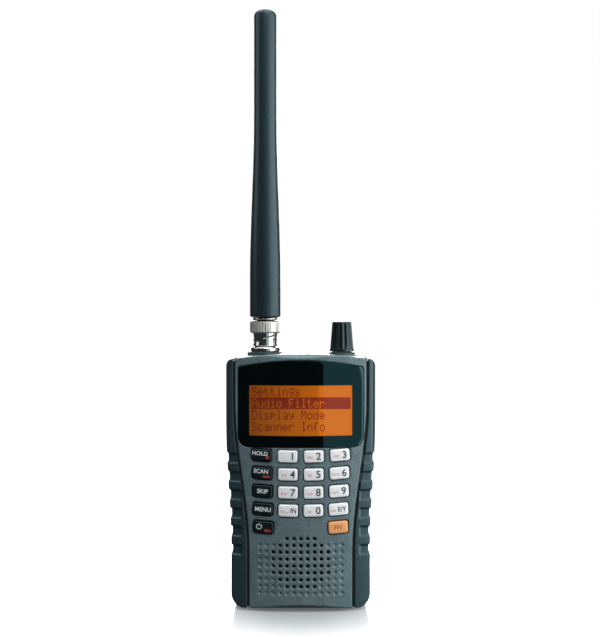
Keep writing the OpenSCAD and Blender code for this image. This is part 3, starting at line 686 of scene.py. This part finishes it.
@dataclass
class CaseShells:
    """The moulded shells: front panel, rear case, grips and battery door."""

    panel_limit: int = 190_000
    grip_limit: int = 120_000
    rear_limit: int = 150_000
    door_limit: int = 60_000
    hole_pitch: float = 3.0
    hole_radius: float = 0.8
    dimple_depth: float = 0.45
    open_half: tuple[int, ...] = (2, 3, 4, 4, 4, 4, 3, 2)
    columns_half: int = 6
    panel_head: float = 29.5
    panel_foot: float = 23.1
    flare_foot: float = 26.0
    flare_head: float = 21.0
    groove: float = 0.94
    # The grooves' black strips are painted shade: their depths under the front, the heights where they
    # stop, and their steps.
    shade_depths: tuple[float, float] = (0.95, 1.26)
    shade_foot: float = 1.6
    shade_head: float = 3.0
    shade_steps: int = 70

    def build(self) -> None:
        """Builds every shell."""
        register(soften("front_case", "front_panel_shell", Softness.MOULDED, self.panel_limit,
                        self._dimples()), PANEL_ABS, "front_case")
        register(soften("rear_case", "rear_shell", Softness.BROAD, self.rear_limit),
                 SHELL_ABS, "rear_case")
        for side in ("left", "right"):
            register(soften(side + "_grip", side + "_finger_grip", Softness.ROUNDED,
                            self.grip_limit), GRIP_ABS, side + "_grip")
        register(soften("battery_door", "battery_door_cover", Softness.MOULDED, self.door_limit),
                 SHELL_ABS, "battery_door")
        self._door_ribs()
        self._groove_shade_strips()

    def _dimples(self) -> bpy.types.Object:
        """Makes the cutter for the blind holes round the open ones."""
        low, high = span("speaker_frame")
        first = (low.z + high.z) / 2 + 4 * self.hole_pitch
        dots = []
        for row in range(1, 9):
            reach = self.open_half[row] if row < len(self.open_half) else -1
            for column in range(-self.columns_half, self.columns_half + 1):
                if abs(column) > reach:
                    x = column * self.hole_pitch
                    dots.append((x, crown_y(x), first - row * self.hole_pitch))
        size = (self.hole_radius, 0.0, 2 * self.dimple_depth)
        return Repeater(Layout.HOLES, size=size, dots=dots).build(
            "grille_dimples", (0.0, 0.0, 0.0), PANEL_ABS)

    def _door_ribs(self) -> None:
        """Adds the thumb ribs near the top of the battery door."""
        low, high = span("battery_door")
        ribs = Repeater(Layout.LINE, count=6, pitch=1.6, size=(16.0, 0.5, 0.7)).build(
            "door_thumb_ribs", (0.0, high.y - 0.24, high.z - 16.0), SHELL_ABS)
        register(ribs, SHELL_ABS, "battery_door", stands_for=False)

    def _half(self, z: float, height: float) -> float:
        """Returns the half width of the front panel at a height."""
        t = min(1.0, max(0.0, (z - self.flare_foot) / (height - self.flare_head - self.flare_foot)))
        return self.panel_foot + (self.panel_head - self.panel_foot) * t * t * (3 - 2 * t)

    def _groove_shade_strips(self) -> None:
        """Lays a black strip of painted shade at the bottom of each groove."""
        height = span("front_case")[1].z
        top, under = self.shade_depths
        half, steps = self.groove / 2, self.shade_steps
        shade_strips = []
        for side in (-1, 1):
            points = []
            for i in range(steps + 1):
                z = self.shade_foot + (height - self.shade_foot - self.shade_head) * i / steps
                middle = side * self._half(z, height)
                for dx, depth in ((-half, top), (half, top), (half, under), (-half, under)):
                    points.append((middle + dx, crown_y(middle + dx, depth), z))
            ends = [[0, 1, 2, 3], [4 * steps + k for k in range(4)]]
            shade_strips.append(mesh_piece(f"cord_{side}", points, rings_to_faces(steps + 1, 4) + ends))
        # The strips are painted shade, in the black rubber finish.
        register(joined("groove_shade_strips", shade_strips), FOOT_RUBBER, "front_case", stands_for=False)


# ---- display ----


GLYPHS = {
    "A": "0E 11 11 1F 11 11 11", "D": "1E 11 11 11 11 11 1E", "F": "1F 10 10 1E 10 10 10",
    "I": "0E 04 04 04 04 04 0E", "M": "11 1B 15 15 11 11 11", "S": "0E 11 10 0E 01 11 0E",
    "a": "00 00 0E 01 0F 11 0F", "c": "00 00 0E 10 10 11 0E", "d": "01 01 0D 13 11 11 0F",
    "e": "00 00 0E 11 1F 10 0E", "f": "06 09 08 1C 08 08 08", "g": "00 0F 11 11 0F 01 0E",
    "i": "04 00 0C 04 04 04 0E", "l": "0C 04 04 04 04 04 0E", "n": "00 00 16 19 11 11 11",
    "o": "00 00 0E 11 11 11 0E", "p": "00 00 1E 11 1E 10 10", "r": "00 00 16 19 10 10 10",
    "s": "00 00 0E 10 0E 01 1E", "t": "08 08 1C 08 08 09 06", "u": "00 00 11 11 11 13 0D",
    "y": "00 00 11 11 0F 01 0E", " ": "00 00 00 00 00 00 00",
}


@dataclass
class Display:
    """The curved lens with its clear window, and the dot-matrix cell behind it."""

    lens_width: float = 55.3
    lens_height: float = 38.0
    corner: float = 4.7
    arch: float = 130.0
    thickness: float = 1.28
    proud: float = 0.15
    bevel: float = 0.22
    bevel_curve: float = 0.3
    window: tuple[float, float] = (45.3, 22.1)
    cell_edge: float = 0.1
    letters: int = 16
    letter_step: tuple[int, int] = (6, 9)
    rows: tuple[str, ...] = ("Settings", "Audio Filter", "Display Mode", "Scanner Info")
    chosen_row: int = 1
    around: int = 160

    def __post_init__(self) -> None:
        """Reads the places of the lens and the cell from the frame."""
        low, high = span("display_lens")
        self.top = high.z
        self.middle = high.z - self.lens_height / 2
        low, high = span("lcd_glass")
        self.cell_y = low.y
        self.cell_z = (low.z + high.z) / 2

    def _in_lens(self, x: float, z: float) -> bool:
        """Says whether a place lies inside the lens outline."""
        half_w, half_h = self.lens_width / 2, self.lens_height / 2
        dx, dz = abs(x) - (half_w - self.corner), abs(z - self.middle) - (half_h - self.corner)
        inside = math.hypot(max(dx, 0), max(dz, 0)) <= self.corner
        return inside and math.hypot(x, z - (self.top - self.arch)) <= self.arch

    def _in_window(self, x: float, z: float) -> bool:
        """Says whether a place lies inside the clear window."""
        return abs(x) <= self.window[0] / 2 and abs(z - self.cell_z) <= self.window[1] / 2

    def _trace(self, inside: Callable[[float, float], bool]) -> Outline:
        """Walks round an outline, by rays from the middle of the cell."""
        outline = []
        for j in range(self.around):
            angle = math.tau * (j + 0.5) / self.around
            near, far = 0.0, 60.0
            for _ in range(40):
                reach = (near + far) / 2
                if inside(reach * math.cos(angle), self.cell_z + reach * math.sin(angle)):
                    near = reach
                else:
                    far = reach
            outline.append((near * math.cos(angle), self.cell_z + near * math.sin(angle)))
        return outline

    def _ring(self, outline: Outline, under: float) -> list[Point]:
        """Lays an outline on the crowned surface, this far under it."""
        return [(x, crown_y(x, under), z) for x, z in outline]

    def _sheet(self, outer: Outline, inner: Outline, steps: int, under: float) -> list[Point]:
        """Returns rings of points on the crowned surface, from outer to inner outline."""
        points = []
        for i in range(steps + 1):
            t = i / steps
            between = [(ax + (bx - ax) * t, az + (bz - az) * t)
                       for (ax, az), (bx, bz) in zip(outer, inner)]
            points += self._ring(between, under)
        return points

    def _shrunk(self, outline: Outline, by: float) -> Outline:
        """Moves an outline towards the middle of the cell."""
        moved = []
        for x, z in outline:
            spot = Vector((x, z - self.cell_z))
            spot *= 1 - by / spot.length
            moved.append((spot.x, spot.y + self.cell_z))
        return moved

    def _lens(self) -> None:
        """Builds the black lens border, bevelled at its rim."""
        outer, window = self._trace(self._in_lens), self._trace(self._in_window)
        face = self._shrunk(outer, self.bevel)
        front, back = -self.proud, self.thickness - self.proud
        knee = self.bevel * self.bevel_curve
        points = self._ring(outer, front + self.bevel)
        points += self._ring(self._shrunk(outer, knee), front + knee)
        points += self._sheet(face, window, 8, front)
        points += self._sheet(window, outer, 8, back)
        rings = len(points) // self.around
        piece = mesh_piece("lens_border", points, rings_to_faces(rings, self.around, closed=True), 28)
        register(piece, BLACK_ACRYLIC, "display_lens")

    def _pane(self) -> None:
        """Builds the clear window of the lens."""
        window = self._trace(self._in_window)
        centre = [(0.0, self.cell_z)] * self.around
        points = self._sheet(centre, window, 10, -self.proud)
        points += self._sheet(window, centre, 10, self.thickness - self.proud)
        rings = len(points) // self.around
        piece = mesh_piece("lens_window", points, rings_to_faces(rings, self.around), 30)
        register(piece, CLEAR_ACRYLIC, "display_lens", stands_for=False)

    def _cell(self) -> None:
        """Builds the amber cell and its rows of dots."""
        low, high = span("lcd_glass")
        frame_points = []
        for inset, y in ((0.0, high.y), (0.0, low.y + self.cell_edge), (self.cell_edge, low.y)):
            frame_points += [(x, y, self.cell_z + z) for x, z in rounded_rect(
                high.x - low.x - 2 * inset, high.z - low.z - 2 * inset, 0.3)]
        around = len(frame_points) // 3
        faces = rings_to_faces(3, around)
        faces += [list(range(around)), list(range(2 * around, 3 * around))]
        cell = mesh_piece("amber_cell", frame_points, faces)
        register(cell, AMBER_CELL, "lcd_glass")
        self._dots()

    def _dots(self) -> None:
        """Sets the rows of words in square dots, one row in reverse."""
        wide, tall = self.letter_step
        columns, lines = self.letters * wide, len(self.rows) * tall
        pitch_x, pitch_z = self.window[0] * 0.965 / columns, self.window[1] * 0.94 / lines
        left = -columns * pitch_x / 2 + pitch_x
        top = self.cell_z + lines * pitch_z / 2 - pitch_z
        dots = []
        for row, words in enumerate(self.rows):
            lit = set()
            for place, letter in enumerate(words.ljust(self.letters)):
                for line, code in enumerate(GLYPHS[letter].split()):
                    lit |= {(place * wide + bit, line) for bit in range(5)
                            if int(code, 16) >> 4 - bit & 1}
            chosen = row == self.chosen_row
            cells = [(c, r) for c in range(-1, columns) for r in range(-1, 8)] if chosen else lit
            for column, line in sorted(cells):
                if chosen and (column, line) in lit:
                    continue
                dots.append((left + column * pitch_x, self.cell_y - 0.03,
                             top - (row * tall + line) * pitch_z))
        size = (pitch_x * 0.98, 0.05, pitch_z * 0.98)
        piece = Repeater(Layout.DOTS, size=size, dots=dots).build(
            "display_dots", (0.0, 0.0, 0.0), DARK_SEGMENT)
        register(piece, DARK_SEGMENT, "lcd_glass", stands_for=False)

    def build(self) -> None:
        """Builds the whole display."""
        self._lens()
        self._pane()
        self._cell()


# ---- keypad ----


DIGIT_SIDE = {"1": "...", "2": "abc", "3": "def", "4": "ghi", "5": "jkl", "6": "mno",
              "7": "pqr", "8": "tuv", "9": "xyz", "0": "sp"}


KEY_NODES = [n for n in frame["nodes"] if n.startswith("key_") and n != "key_domes"]


@dataclass
class Keypad:
    """Eighteen crowned key caps with their printed signs."""

    width: float = 8.55
    height: float = 5.2
    corner: float = 1.0
    round_over: float = 0.45
    outer_column: float = 17.2

    def _marks(self, node: str) -> list[Print]:
        """Returns what is printed on a key."""
        name = node.removeprefix("key_")
        if name in DIGIT_SIDE:
            return [Print(name, 4.4, 2.1, 0.0, DARK_INK),
                    Print(DIGIT_SIDE[name], 2.0, -1.6, -0.2, PINK_INK)]
        marks = {
            "dot": [Print("no", 2.0, -2.2, -0.2, PINK_INK), Print(". /N", 2.9, 1.5, 0.0, DARK_INK)],
            "enter": [Print("yes", 1.9, -2.3, -0.2, PINK_INK), Print("E/Y", 2.7, 1.5, 0.0, DARK_INK)],
            "hold": [Print("HOLD", 2.5, -0.7, 0.7, WHITE_INK), Print("*", 3.6, 2.7, -1.5, RED_INK)],
            "scan": [Print("SCAN", 2.5, -0.5, 0.8, WHITE_INK), Print("seek", 1.8, 1.9, -1.2, RED_INK)],
            "lockout": [Print("SKIP", 2.6, 0.0, 0.0, WHITE_INK)],
            "menu": [Print("MENU", 2.6, 0.0, 0.0, WHITE_INK)],
            "power": [Print("dim", 2.0, 1.9, -1.1, RED_INK)],
            "func": [Print("FN", 2.9, 0.0, 0.0, Finish("brown_pad_print", "9a5a34", "a4623a", 0.5))],
        }
        return marks[name]

    def _lay(self, centre: tuple[float, float]) -> Callable[[float, float], Point]:
        """Returns the function that puts a place on a key onto its crowned top."""
        cx, cz = centre
        turn = math.atan(2 * KEY_SMILE * cx / self.outer_column ** 2)

        def lay(u: float, v: float) -> Point:
            """Turns, places and crowns a place on the key."""
            x = cx + u * math.cos(turn) - v * math.sin(turn)
            z = cz + u * math.sin(turn) + v * math.cos(turn)
            return x, crown_y(x, -KEY_PROUD), z
        return lay

    def _cap(self, node: str, centre: tuple[float, float], back: float) -> bpy.types.Object:
        """Builds one cap: a crowned top, rolled edges and straight sides."""
        lay = self._lay(centre)
        rings = [(0.0, back)] + [
            (self.round_over * (1 - math.cos(math.radians(a))),
             self.round_over * (1 - math.sin(math.radians(a)))) for a in (0, 22, 45, 68, 90)]
        points, count = [], 0
        for i, (inset, depth) in enumerate(rings):
            outline = rounded_rect(self.width - 2 * inset, self.height - 2 * inset,
                                   self.corner - inset * 0.6)
            count = len(outline)
            for u, v in outline:
                x, y, z = lay(u, v)
                points.append((x, back if i == 0 else y + depth, z))
        flat = [(p[0], p[2]) for p in points[-count:]]
        for share in (0.66, 0.33, 0.0):
            for x, z in flat:
                px, pz = centre[0] + (x - centre[0]) * share, centre[1] + (z - centre[1]) * share
                points.append((px, crown_y(px, -KEY_PROUD), pz))
        faces = rings_to_faces(len(points) // count, count) + [list(range(count))]
        return mesh_piece(node + "_cap", points, faces, 50)

    def _power_sign(self, node: str, centre: tuple[float, float]) -> None:
        """Draws the broken ring and bar of the power sign."""
        lay = self._lay(centre)
        steps, points = 22, []
        for i in range(steps + 1):
            angle = math.radians(125 + 290 * i / steps)
            for radius in (0.98, 1.3):
                u, v = -1.9 + radius * math.cos(angle), 0.4 + radius * math.sin(angle)
                for lift in (0.0, 0.04):
                    x, y, z = lay(u, v)
                    points.append((x, y - lift, z))
        faces = []
        for i in range(steps):
            a, b = 4 * i, 4 * (i + 1)
            faces += [[a, a + 1, b + 1, b], [a + 1, a + 3, b + 3, b + 1],
                      [a + 3, a + 2, b + 2, b + 3], [a + 2, a, b, b + 2]]
        faces += [[0, 1, 3, 2], [4 * steps, 4 * steps + 1, 4 * steps + 3, 4 * steps + 2]]
        ring = mesh_piece("power_ring", points, faces)
        corners = []
        for u, v in ((-2.06, 0.7), (-1.74, 0.7), (-1.74, 1.9), (-2.06, 1.9)):
            x, y, z = lay(u, v)
            corners += [(x, y, z), (x, y - 0.04, z)]
        bar = mesh_piece("power_bar", corners, [[0, 2, 4, 6], [1, 3, 5, 7], [0, 1, 3, 2],
                                                [2, 3, 5, 4], [4, 5, 7, 6], [6, 7, 1, 0]])
        register(joined("power_sign", [ring, bar]), WHITE_INK, node, stands_for=False)

    def build(self) -> None:
        """Builds each key and its print."""
        for node in KEY_NODES:
            low, high = span(node)
            centre = ((low.x + high.x) / 2, (low.z + high.z) / 2)
            finish = SLOT_FINISH[slot_of(node)]
            register(self._cap(node, centre, high.y), finish, node)
            inks: dict[Finish, list[bpy.types.Object]] = {}
            for i, mark in enumerate(self._marks(node)):
                word = print_mesh(mark, f"{node}_word_{i}", self._lay(centre))
                inks.setdefault(mark.ink, []).append(word)
            for ink, words in inks.items():
                made = joined(f"{node}_{ink.name}", words)
                register(made, ink, node, stands_for=False)
            if node == "key_power":
                self._power_sign(node, centre)


# ---- antenna and bayonet ----


@dataclass
class Antenna:
    """The rubber aerial, its bayonet coupling and the jack that it stands on."""

    ribs: int = 60
    ring_radius: float = 7.0
    tip_r: float = 5.1
    tip_roll: float = 2.4
    taper: tuple[float, float] = (0.12, 0.66)

    def __post_init__(self) -> None:
        """Reads the axis and the heights from the frame."""
        low, high = span("antenna_sheath")
        self.axis = ((low.x + high.x) / 2, (low.y + high.y) / 2)
        self.foot, self.tip = low.z, high.z
        self.foot_r = (high.x - low.x) / 2

    def _sheath(self) -> None:
        """Builds the rubber sheath: a long taper with a rolled tip and foot."""
        length, steps, roll = self.tip - self.foot, 60, self.tip_roll
        taper_from, taper_to = self.taper
        profile = [(2.5, self.foot + 0.6), (self.foot_r - 0.7, self.foot + 0.02)]
        for i in range(steps + 1):
            h = 0.6 + (length - roll - 0.6) * i / steps
            t = min(1.0, max(0.0, (h / length - taper_from) / (taper_to - taper_from)))
            ease = t * t * (3 - 2 * t)
            profile.append((self.foot_r + (self.tip_r - self.foot_r) * ease, self.foot + h))
        for a in range(10, 91, 10):
            angle = math.radians(a)
            profile.append((self.tip_r - roll + roll * math.cos(angle),
                            self.tip - roll + roll * math.sin(angle)))
        profile += [(1.0, self.tip - 0.01), (0.0, self.tip - 0.01), (0.0, self.foot + 5.0),
                    (2.5, self.foot + 5.0)]
        register(revolve("rubber_sheath", profile, self.axis, 128), AERIAL_RUBBER, "antenna_sheath")

    def _neck(self) -> None:
        """Builds the domed neck that shows between sheath and ring."""
        low = span("antenna_plug")[0]
        neck = self.foot - 1.45
        profile = fillet([(0.7, low.z), (3.78, low.z), (3.78, neck - 2.4), (3.88, neck - 2.3),
                          (3.88, neck), (5.4, neck), (6.0, neck + 0.7), (5.4, self.foot - 0.02),
                          (2.3, self.foot - 0.02), (2.3, self.foot + 4.8), (0.7, self.foot + 4.8)],
                         0.4)

        def sink(angle: float, radius: float, height: float) -> float:
            """Sinks the small set-screw hole into the front of the dome."""
            aside = (angle - 1.5 * math.pi) * radius
            return radius - 0.9 * (radius > 5 and aside ** 2 < 0.8)

        register(revolve("domed_neck", profile, self.axis, 120, sink), NICKEL, "antenna_plug")

    def _ring(self) -> None:
        """Builds the coupling ring: knurled band above, bayonet sleeve below."""
        low, high = span("coupling_ring")
        band = high.z - 5.6
        bore = 4.91

        def slot(angle: float, radius: float, height: float) -> float:
            """Sinks the slanted cam slots into the sleeve."""
            if radius < bore + 0.2 or height > band - 0.2 or height < low.z + 0.2:
                return radius
            turn = (angle % math.pi) / math.pi
            track = low.z + 1.2 + turn * 4.2
            return radius - 0.25 * math.exp(-((height - track) / 0.5) ** 4) * (0.3 < turn < 0.8)

        shares = [i / 20 for i in range(21)]
        sleeve = [(5.42 - 0.4 * math.sin(math.pi * share ** 0.8) ** 2,
                   low.z + 0.3 + (band - low.z - 0.5) * share) for share in shares]
        profile = [(bore, low.z + 0.2), (5.2, low.z)] + sleeve
        profile += fillet([(5.5, band), (6.3, band), (6.8, band + 0.5), (6.8, high.z - 0.5),
                           (6.2, high.z), (4.0, high.z)], 0.15)
        profile += [(4.0, high.z - 2.0), (bore, high.z - 2.0)]
        barrel = revolve("ring_barrel", profile, self.axis, 144, slot)
        knurl = Repeater(Layout.RING, count=self.ribs, radius=self.ring_radius - 0.21,
                         size=(0.2, 0.2, 4.7)).build(
            "ring_knurl", (*self.axis, high.z - 2.75), NICKEL)
        register(barrel, NICKEL, "coupling_ring")
        register(knurl, KNURLED_NICKEL, "coupling_ring", stands_for=False)

    def _jack(self) -> None:
        """Builds the jack: flange, body, bayonet lugs and stem, and the washer under it."""
        low, high = span("antenna_jack")
        washer_low, washer_high = span("jack_washer")
        seat = washer_high.z
        profile = fillet([(1.7, low.z), (3.9, low.z), (3.9, seat), (6.3, seat), (6.5, seat + 0.4),
                          (6.5, seat + 1.7), (6.0, seat + 2.3), (4.85, seat + 2.3), (4.85, high.z),
                          (3.9, high.z), (3.9, seat + 0.6), (1.7, seat + 0.6)], 0.25)
        body = revolve("jack_body", profile, self.axis)
        lugs = []
        for side in (-1, 1):
            lug = revolve(f"lug_{side}", fillet([(0.0, 4.6), (0.8, 4.6), (0.8, 5.34), (0.0, 5.34)], 0.15),
                          (0.0, 0.0), 20)
            lug.data.transform(Matrix.Translation(Vector((*self.axis, seat + 5.5)) * SI)
                               @ Matrix.Rotation(math.radians(90 * side), 4, "Y"))
            lugs.append(lug)
        register(joined("antenna_jack_body", [body, *lugs]), NICKEL, "antenna_jack")
        profile = fillet([(4.05, washer_low.z), (8.15, washer_low.z), (7.7, washer_high.z),
                          (4.05, washer_high.z)], 0.3)
        register(revolve("jack_seat_washer", profile, self.axis), SHELL_ABS, "jack_washer")

    def build(self) -> None:
        """Builds the aerial from tip to deck."""
        self._sheath()
        self._neck()
        self._ring()
        self._jack()


# ---- volume knob ----


@dataclass
class VolumeKnob:
    """The tapered, fluted knob and its collar."""

    flutes: int = 14
    depth: float = 0.42

    def build(self) -> None:
        """Builds the knob and the collar under it."""
        low, high = span("volume_knob")
        axis = ((low.x + high.x) / 2, (low.y + high.y) / 2)
        foot_r, top_r = (high.x - low.x) / 2, 4.35

        rise = high.z - low.z

        def taper(share: float) -> float:
            """Returns the radius at a share of the height."""
            return foot_r + (top_r - foot_r) * share

        def flute(angle: float, radius: float, height: float) -> float:
            """Cuts round-bottomed flutes that fade out at the top."""
            if radius < taper((height - low.z) / rise) - 0.9 or height < low.z + 1.0:
                return radius
            fade = min(1.0, (high.z - height) / 0.5)
            return radius - self.depth * fade * abs(math.cos(self.flutes * angle / 2)) ** 1.6

        side = [(taper(s), low.z + rise * s)
                for s in (0.0, 0.03, 0.072, 0.09, 0.3, 0.5, 0.7, 0.9, 0.95)]
        crown = [(top_r - 0.12, high.z - 0.25), (top_r - 0.4, high.z - 0.06), (top_r - 1.0, high.z),
                 (2.2, high.z - 0.1), (0.0, high.z - 0.15)]
        hollow = [(0.0, low.z + 4.0), (4.5, low.z + 4.0), (4.5, low.z + 0.2), (foot_r - 0.3, low.z)]
        knob = revolve("fluted_knob", side + crown + hollow, axis, 196, flute)
        register(knob, KNOB_ABS, "volume_knob")
        foot, top = span("knob_collar")
        profile = fillet([(3.55, foot.z), (6.05, foot.z), (5.6, top.z), (3.55, top.z)], 0.25)
        register(revolve("knob_seat_collar", profile, axis), SHELL_ABS, "knob_collar")


# ---- small parts that keep their CAD shape ----


class Insides:
    """Dresses every CAD node that stays in view or inside the case."""

    FINER = {"feet": FOOT_RUBBER, "usb_cover": FOOT_RUBBER, "antenna_pin": GOLD}

    def build(self, replaced: set[str]) -> None:
        """Gives each remaining node its finish.

        Args:
            replaced: Nodes that have a piece of their own.
        """
        for name, piece in frame["nodes"].items():
            if name in replaced:
                continue
            finish = self.FINER.get(name, SLOT_FINISH[slot_of(name)])
            piece.data.materials.clear()
            piece.data.materials.append(finish.material())
            LOG.info("%s keeps its shape, in %s", name, finish.name)


# ---- studio ----


@dataclass
class Studio:
    """Pale floor, soft lights and the camera."""

    eye: float = 128.6
    distance: float = 400.0
    field: float = 289.8
    sensor: float = 24.0
    aside: float = -0.3
    aim: float = 110.0
    floor_reach: float = 20000.0
    # Distances in millimetres over which the floor's glow rises from a painted shadow round the object to
    # full white.
    floor_shade_reach: tuple[float, float] = (18.0, 70.0)

    def _softbox(self, name: str, azimuth: float, distance: float, height: float,
                 size: tuple[float, float], watts: float, colour: str = "ffffff") -> None:
        """Hangs an area light that faces the object.

        Args:
            name: The light's name.
            azimuth: Degrees to the right of the camera, as the object sees it.
            distance: From the object's axis.
            height: Of the light's middle.
            size: Width and height.
            watts: Its power.
            colour: Its colour.
        """
        data = bpy.data.lights.new(name, "AREA")
        data.shape = "RECTANGLE"
        data.size, data.size_y = size[0] * SI, size[1] * SI
        data.energy = watts
        data.color = linear(colour)[:3]
        lamp = placed(name, data)
        angle = math.radians(azimuth)
        spot = Vector((distance * math.sin(angle), -distance * math.cos(angle), height)) * SI
        lamp.location = spot
        aim = Vector((0.0, 0.0, self.aim)) * SI - spot
        lamp.rotation_euler = aim.to_track_quat("-Z", "Y").to_euler()

    def _world(self) -> None:
        """Gives a white surround to look at and a dim one to be lit by."""
        world = bpy.data.worlds.new("white_surround")
        bpy.context.scene.world = world
        world.use_nodes = True
        tree = world.node_tree
        tree.nodes.clear()
        path = add(tree, "ShaderNodeLightPath")
        dim = add(tree, "ShaderNodeBackground", None,
                  {"Color": (0.8, 0.92, 1.0, 1.0), "Strength": 0.06})
        bright = add(tree, "ShaderNodeBackground", None,
                     {"Color": (1.0, 1.0, 1.0, 1.0), "Strength": 1.0})
        mix = add(tree, "ShaderNodeMixShader", None, {0: path.outputs["Is Camera Ray"]})
        tree.links.new(dim.outputs[0], mix.inputs[1])
        tree.links.new(bright.outputs[0], mix.inputs[2])
        add(tree, "ShaderNodeOutputWorld", None, {"Surface": mix.outputs[0]})

    def _floor(self) -> None:
        """Lays the pale floor, which grows brighter away from the object: its glow is dimmed near the
        object as a painted shadow.
        """
        reach = self.floor_reach
        floor = mesh_piece("floor", [(-reach, -reach, 0.0), (reach, -reach, 0.0),
                                     (reach, reach, 0.0), (-reach, reach, 0.0)], [[0, 1, 2, 3]])
        made = bpy.data.materials.new("pale_floor")
        made.use_nodes = True
        tree = made.node_tree
        shader = tree.nodes["Principled BSDF"]
        shader.inputs["Base Color"].default_value = linear("989c9e")
        shader.inputs["Roughness"].default_value = 0.16
        shader.inputs["Emission Color"].default_value = (1.0, 1.0, 1.0, 1.0)
        place = add(tree, "ShaderNodeTexCoord")
        away = add(tree, "ShaderNodeVectorMath", {"operation": "LENGTH"},
                   {0: place.outputs["Object"]})
        # Painted shadow: the glow is low near the object and rises to white further away.
        glow = add(tree, "ShaderNodeMapRange", {"interpolation_type": "SMOOTHSTEP"},
                   {"Value": away.outputs["Value"], "From Min": self.floor_shade_reach[0] * SI,
                    "From Max": self.floor_shade_reach[1] * SI,
                    "To Min": 0.1, "To Max": 1.0})
        tree.links.new(glow.outputs[0], shader.inputs["Emission Strength"])
        floor.data.materials.append(made)
        floor.visible_diffuse = False
        floor.visible_glossy = False

    def _camera(self) -> None:
        """Sets the level camera in front of the object."""
        data = bpy.data.cameras.new("front_camera")
        data.sensor_fit = "VERTICAL"
        data.sensor_height = self.sensor
        data.lens = self.sensor * self.distance / self.field
        camera = placed("front_camera", data)
        camera.location = Vector((self.aside, -self.distance, self.eye)) * SI
        camera.rotation_euler = (math.radians(90), 0.0, 0.0)
        bpy.context.scene.camera = camera

    def build(self) -> None:
        """Builds the studio."""
        bpy.context.scene.view_settings.view_transform = "Standard"
        self._camera()
        self._world()
        self._floor()
        self._softbox("right_softbox", 76, 560, 150, (760, 760), 7.2)
        self._softbox("right_card", 28, 620, 120, (320, 700), 0.7, "cfeef2")
        self._softbox("left_strip", -86, 520, 430, (300, 500), 0.9)
        self._softbox("front_top_softbox", 20, 420, 640, (500, 300), 2.2)
        self._softbox("top_softbox", 0, 60, 800, (900, 900), 7.3)
        self._softbox("back_softbox", 180, 620, 300, (300, 340), 4.0)


def main() -> None:
    """Builds every sub-assembly in order."""
    logging.basicConfig(level=logging.INFO, format="%(name)s: %(message)s")
    Studio().build()
    CaseShells().build()
    Display().build()
    Keypad().build()
    Antenna().build()
    VolumeKnob().build()
    replaced = {"front_case", "rear_case", "left_grip", "right_grip", "battery_door",
                "display_lens", "lcd_glass", "antenna_sheath", "antenna_plug", "coupling_ring",
                "antenna_jack", "jack_washer", "volume_knob", "knob_collar"}
    replaced |= set(KEY_NODES)
    Insides().build(replaced)


if __name__ == "__main__":
    main()
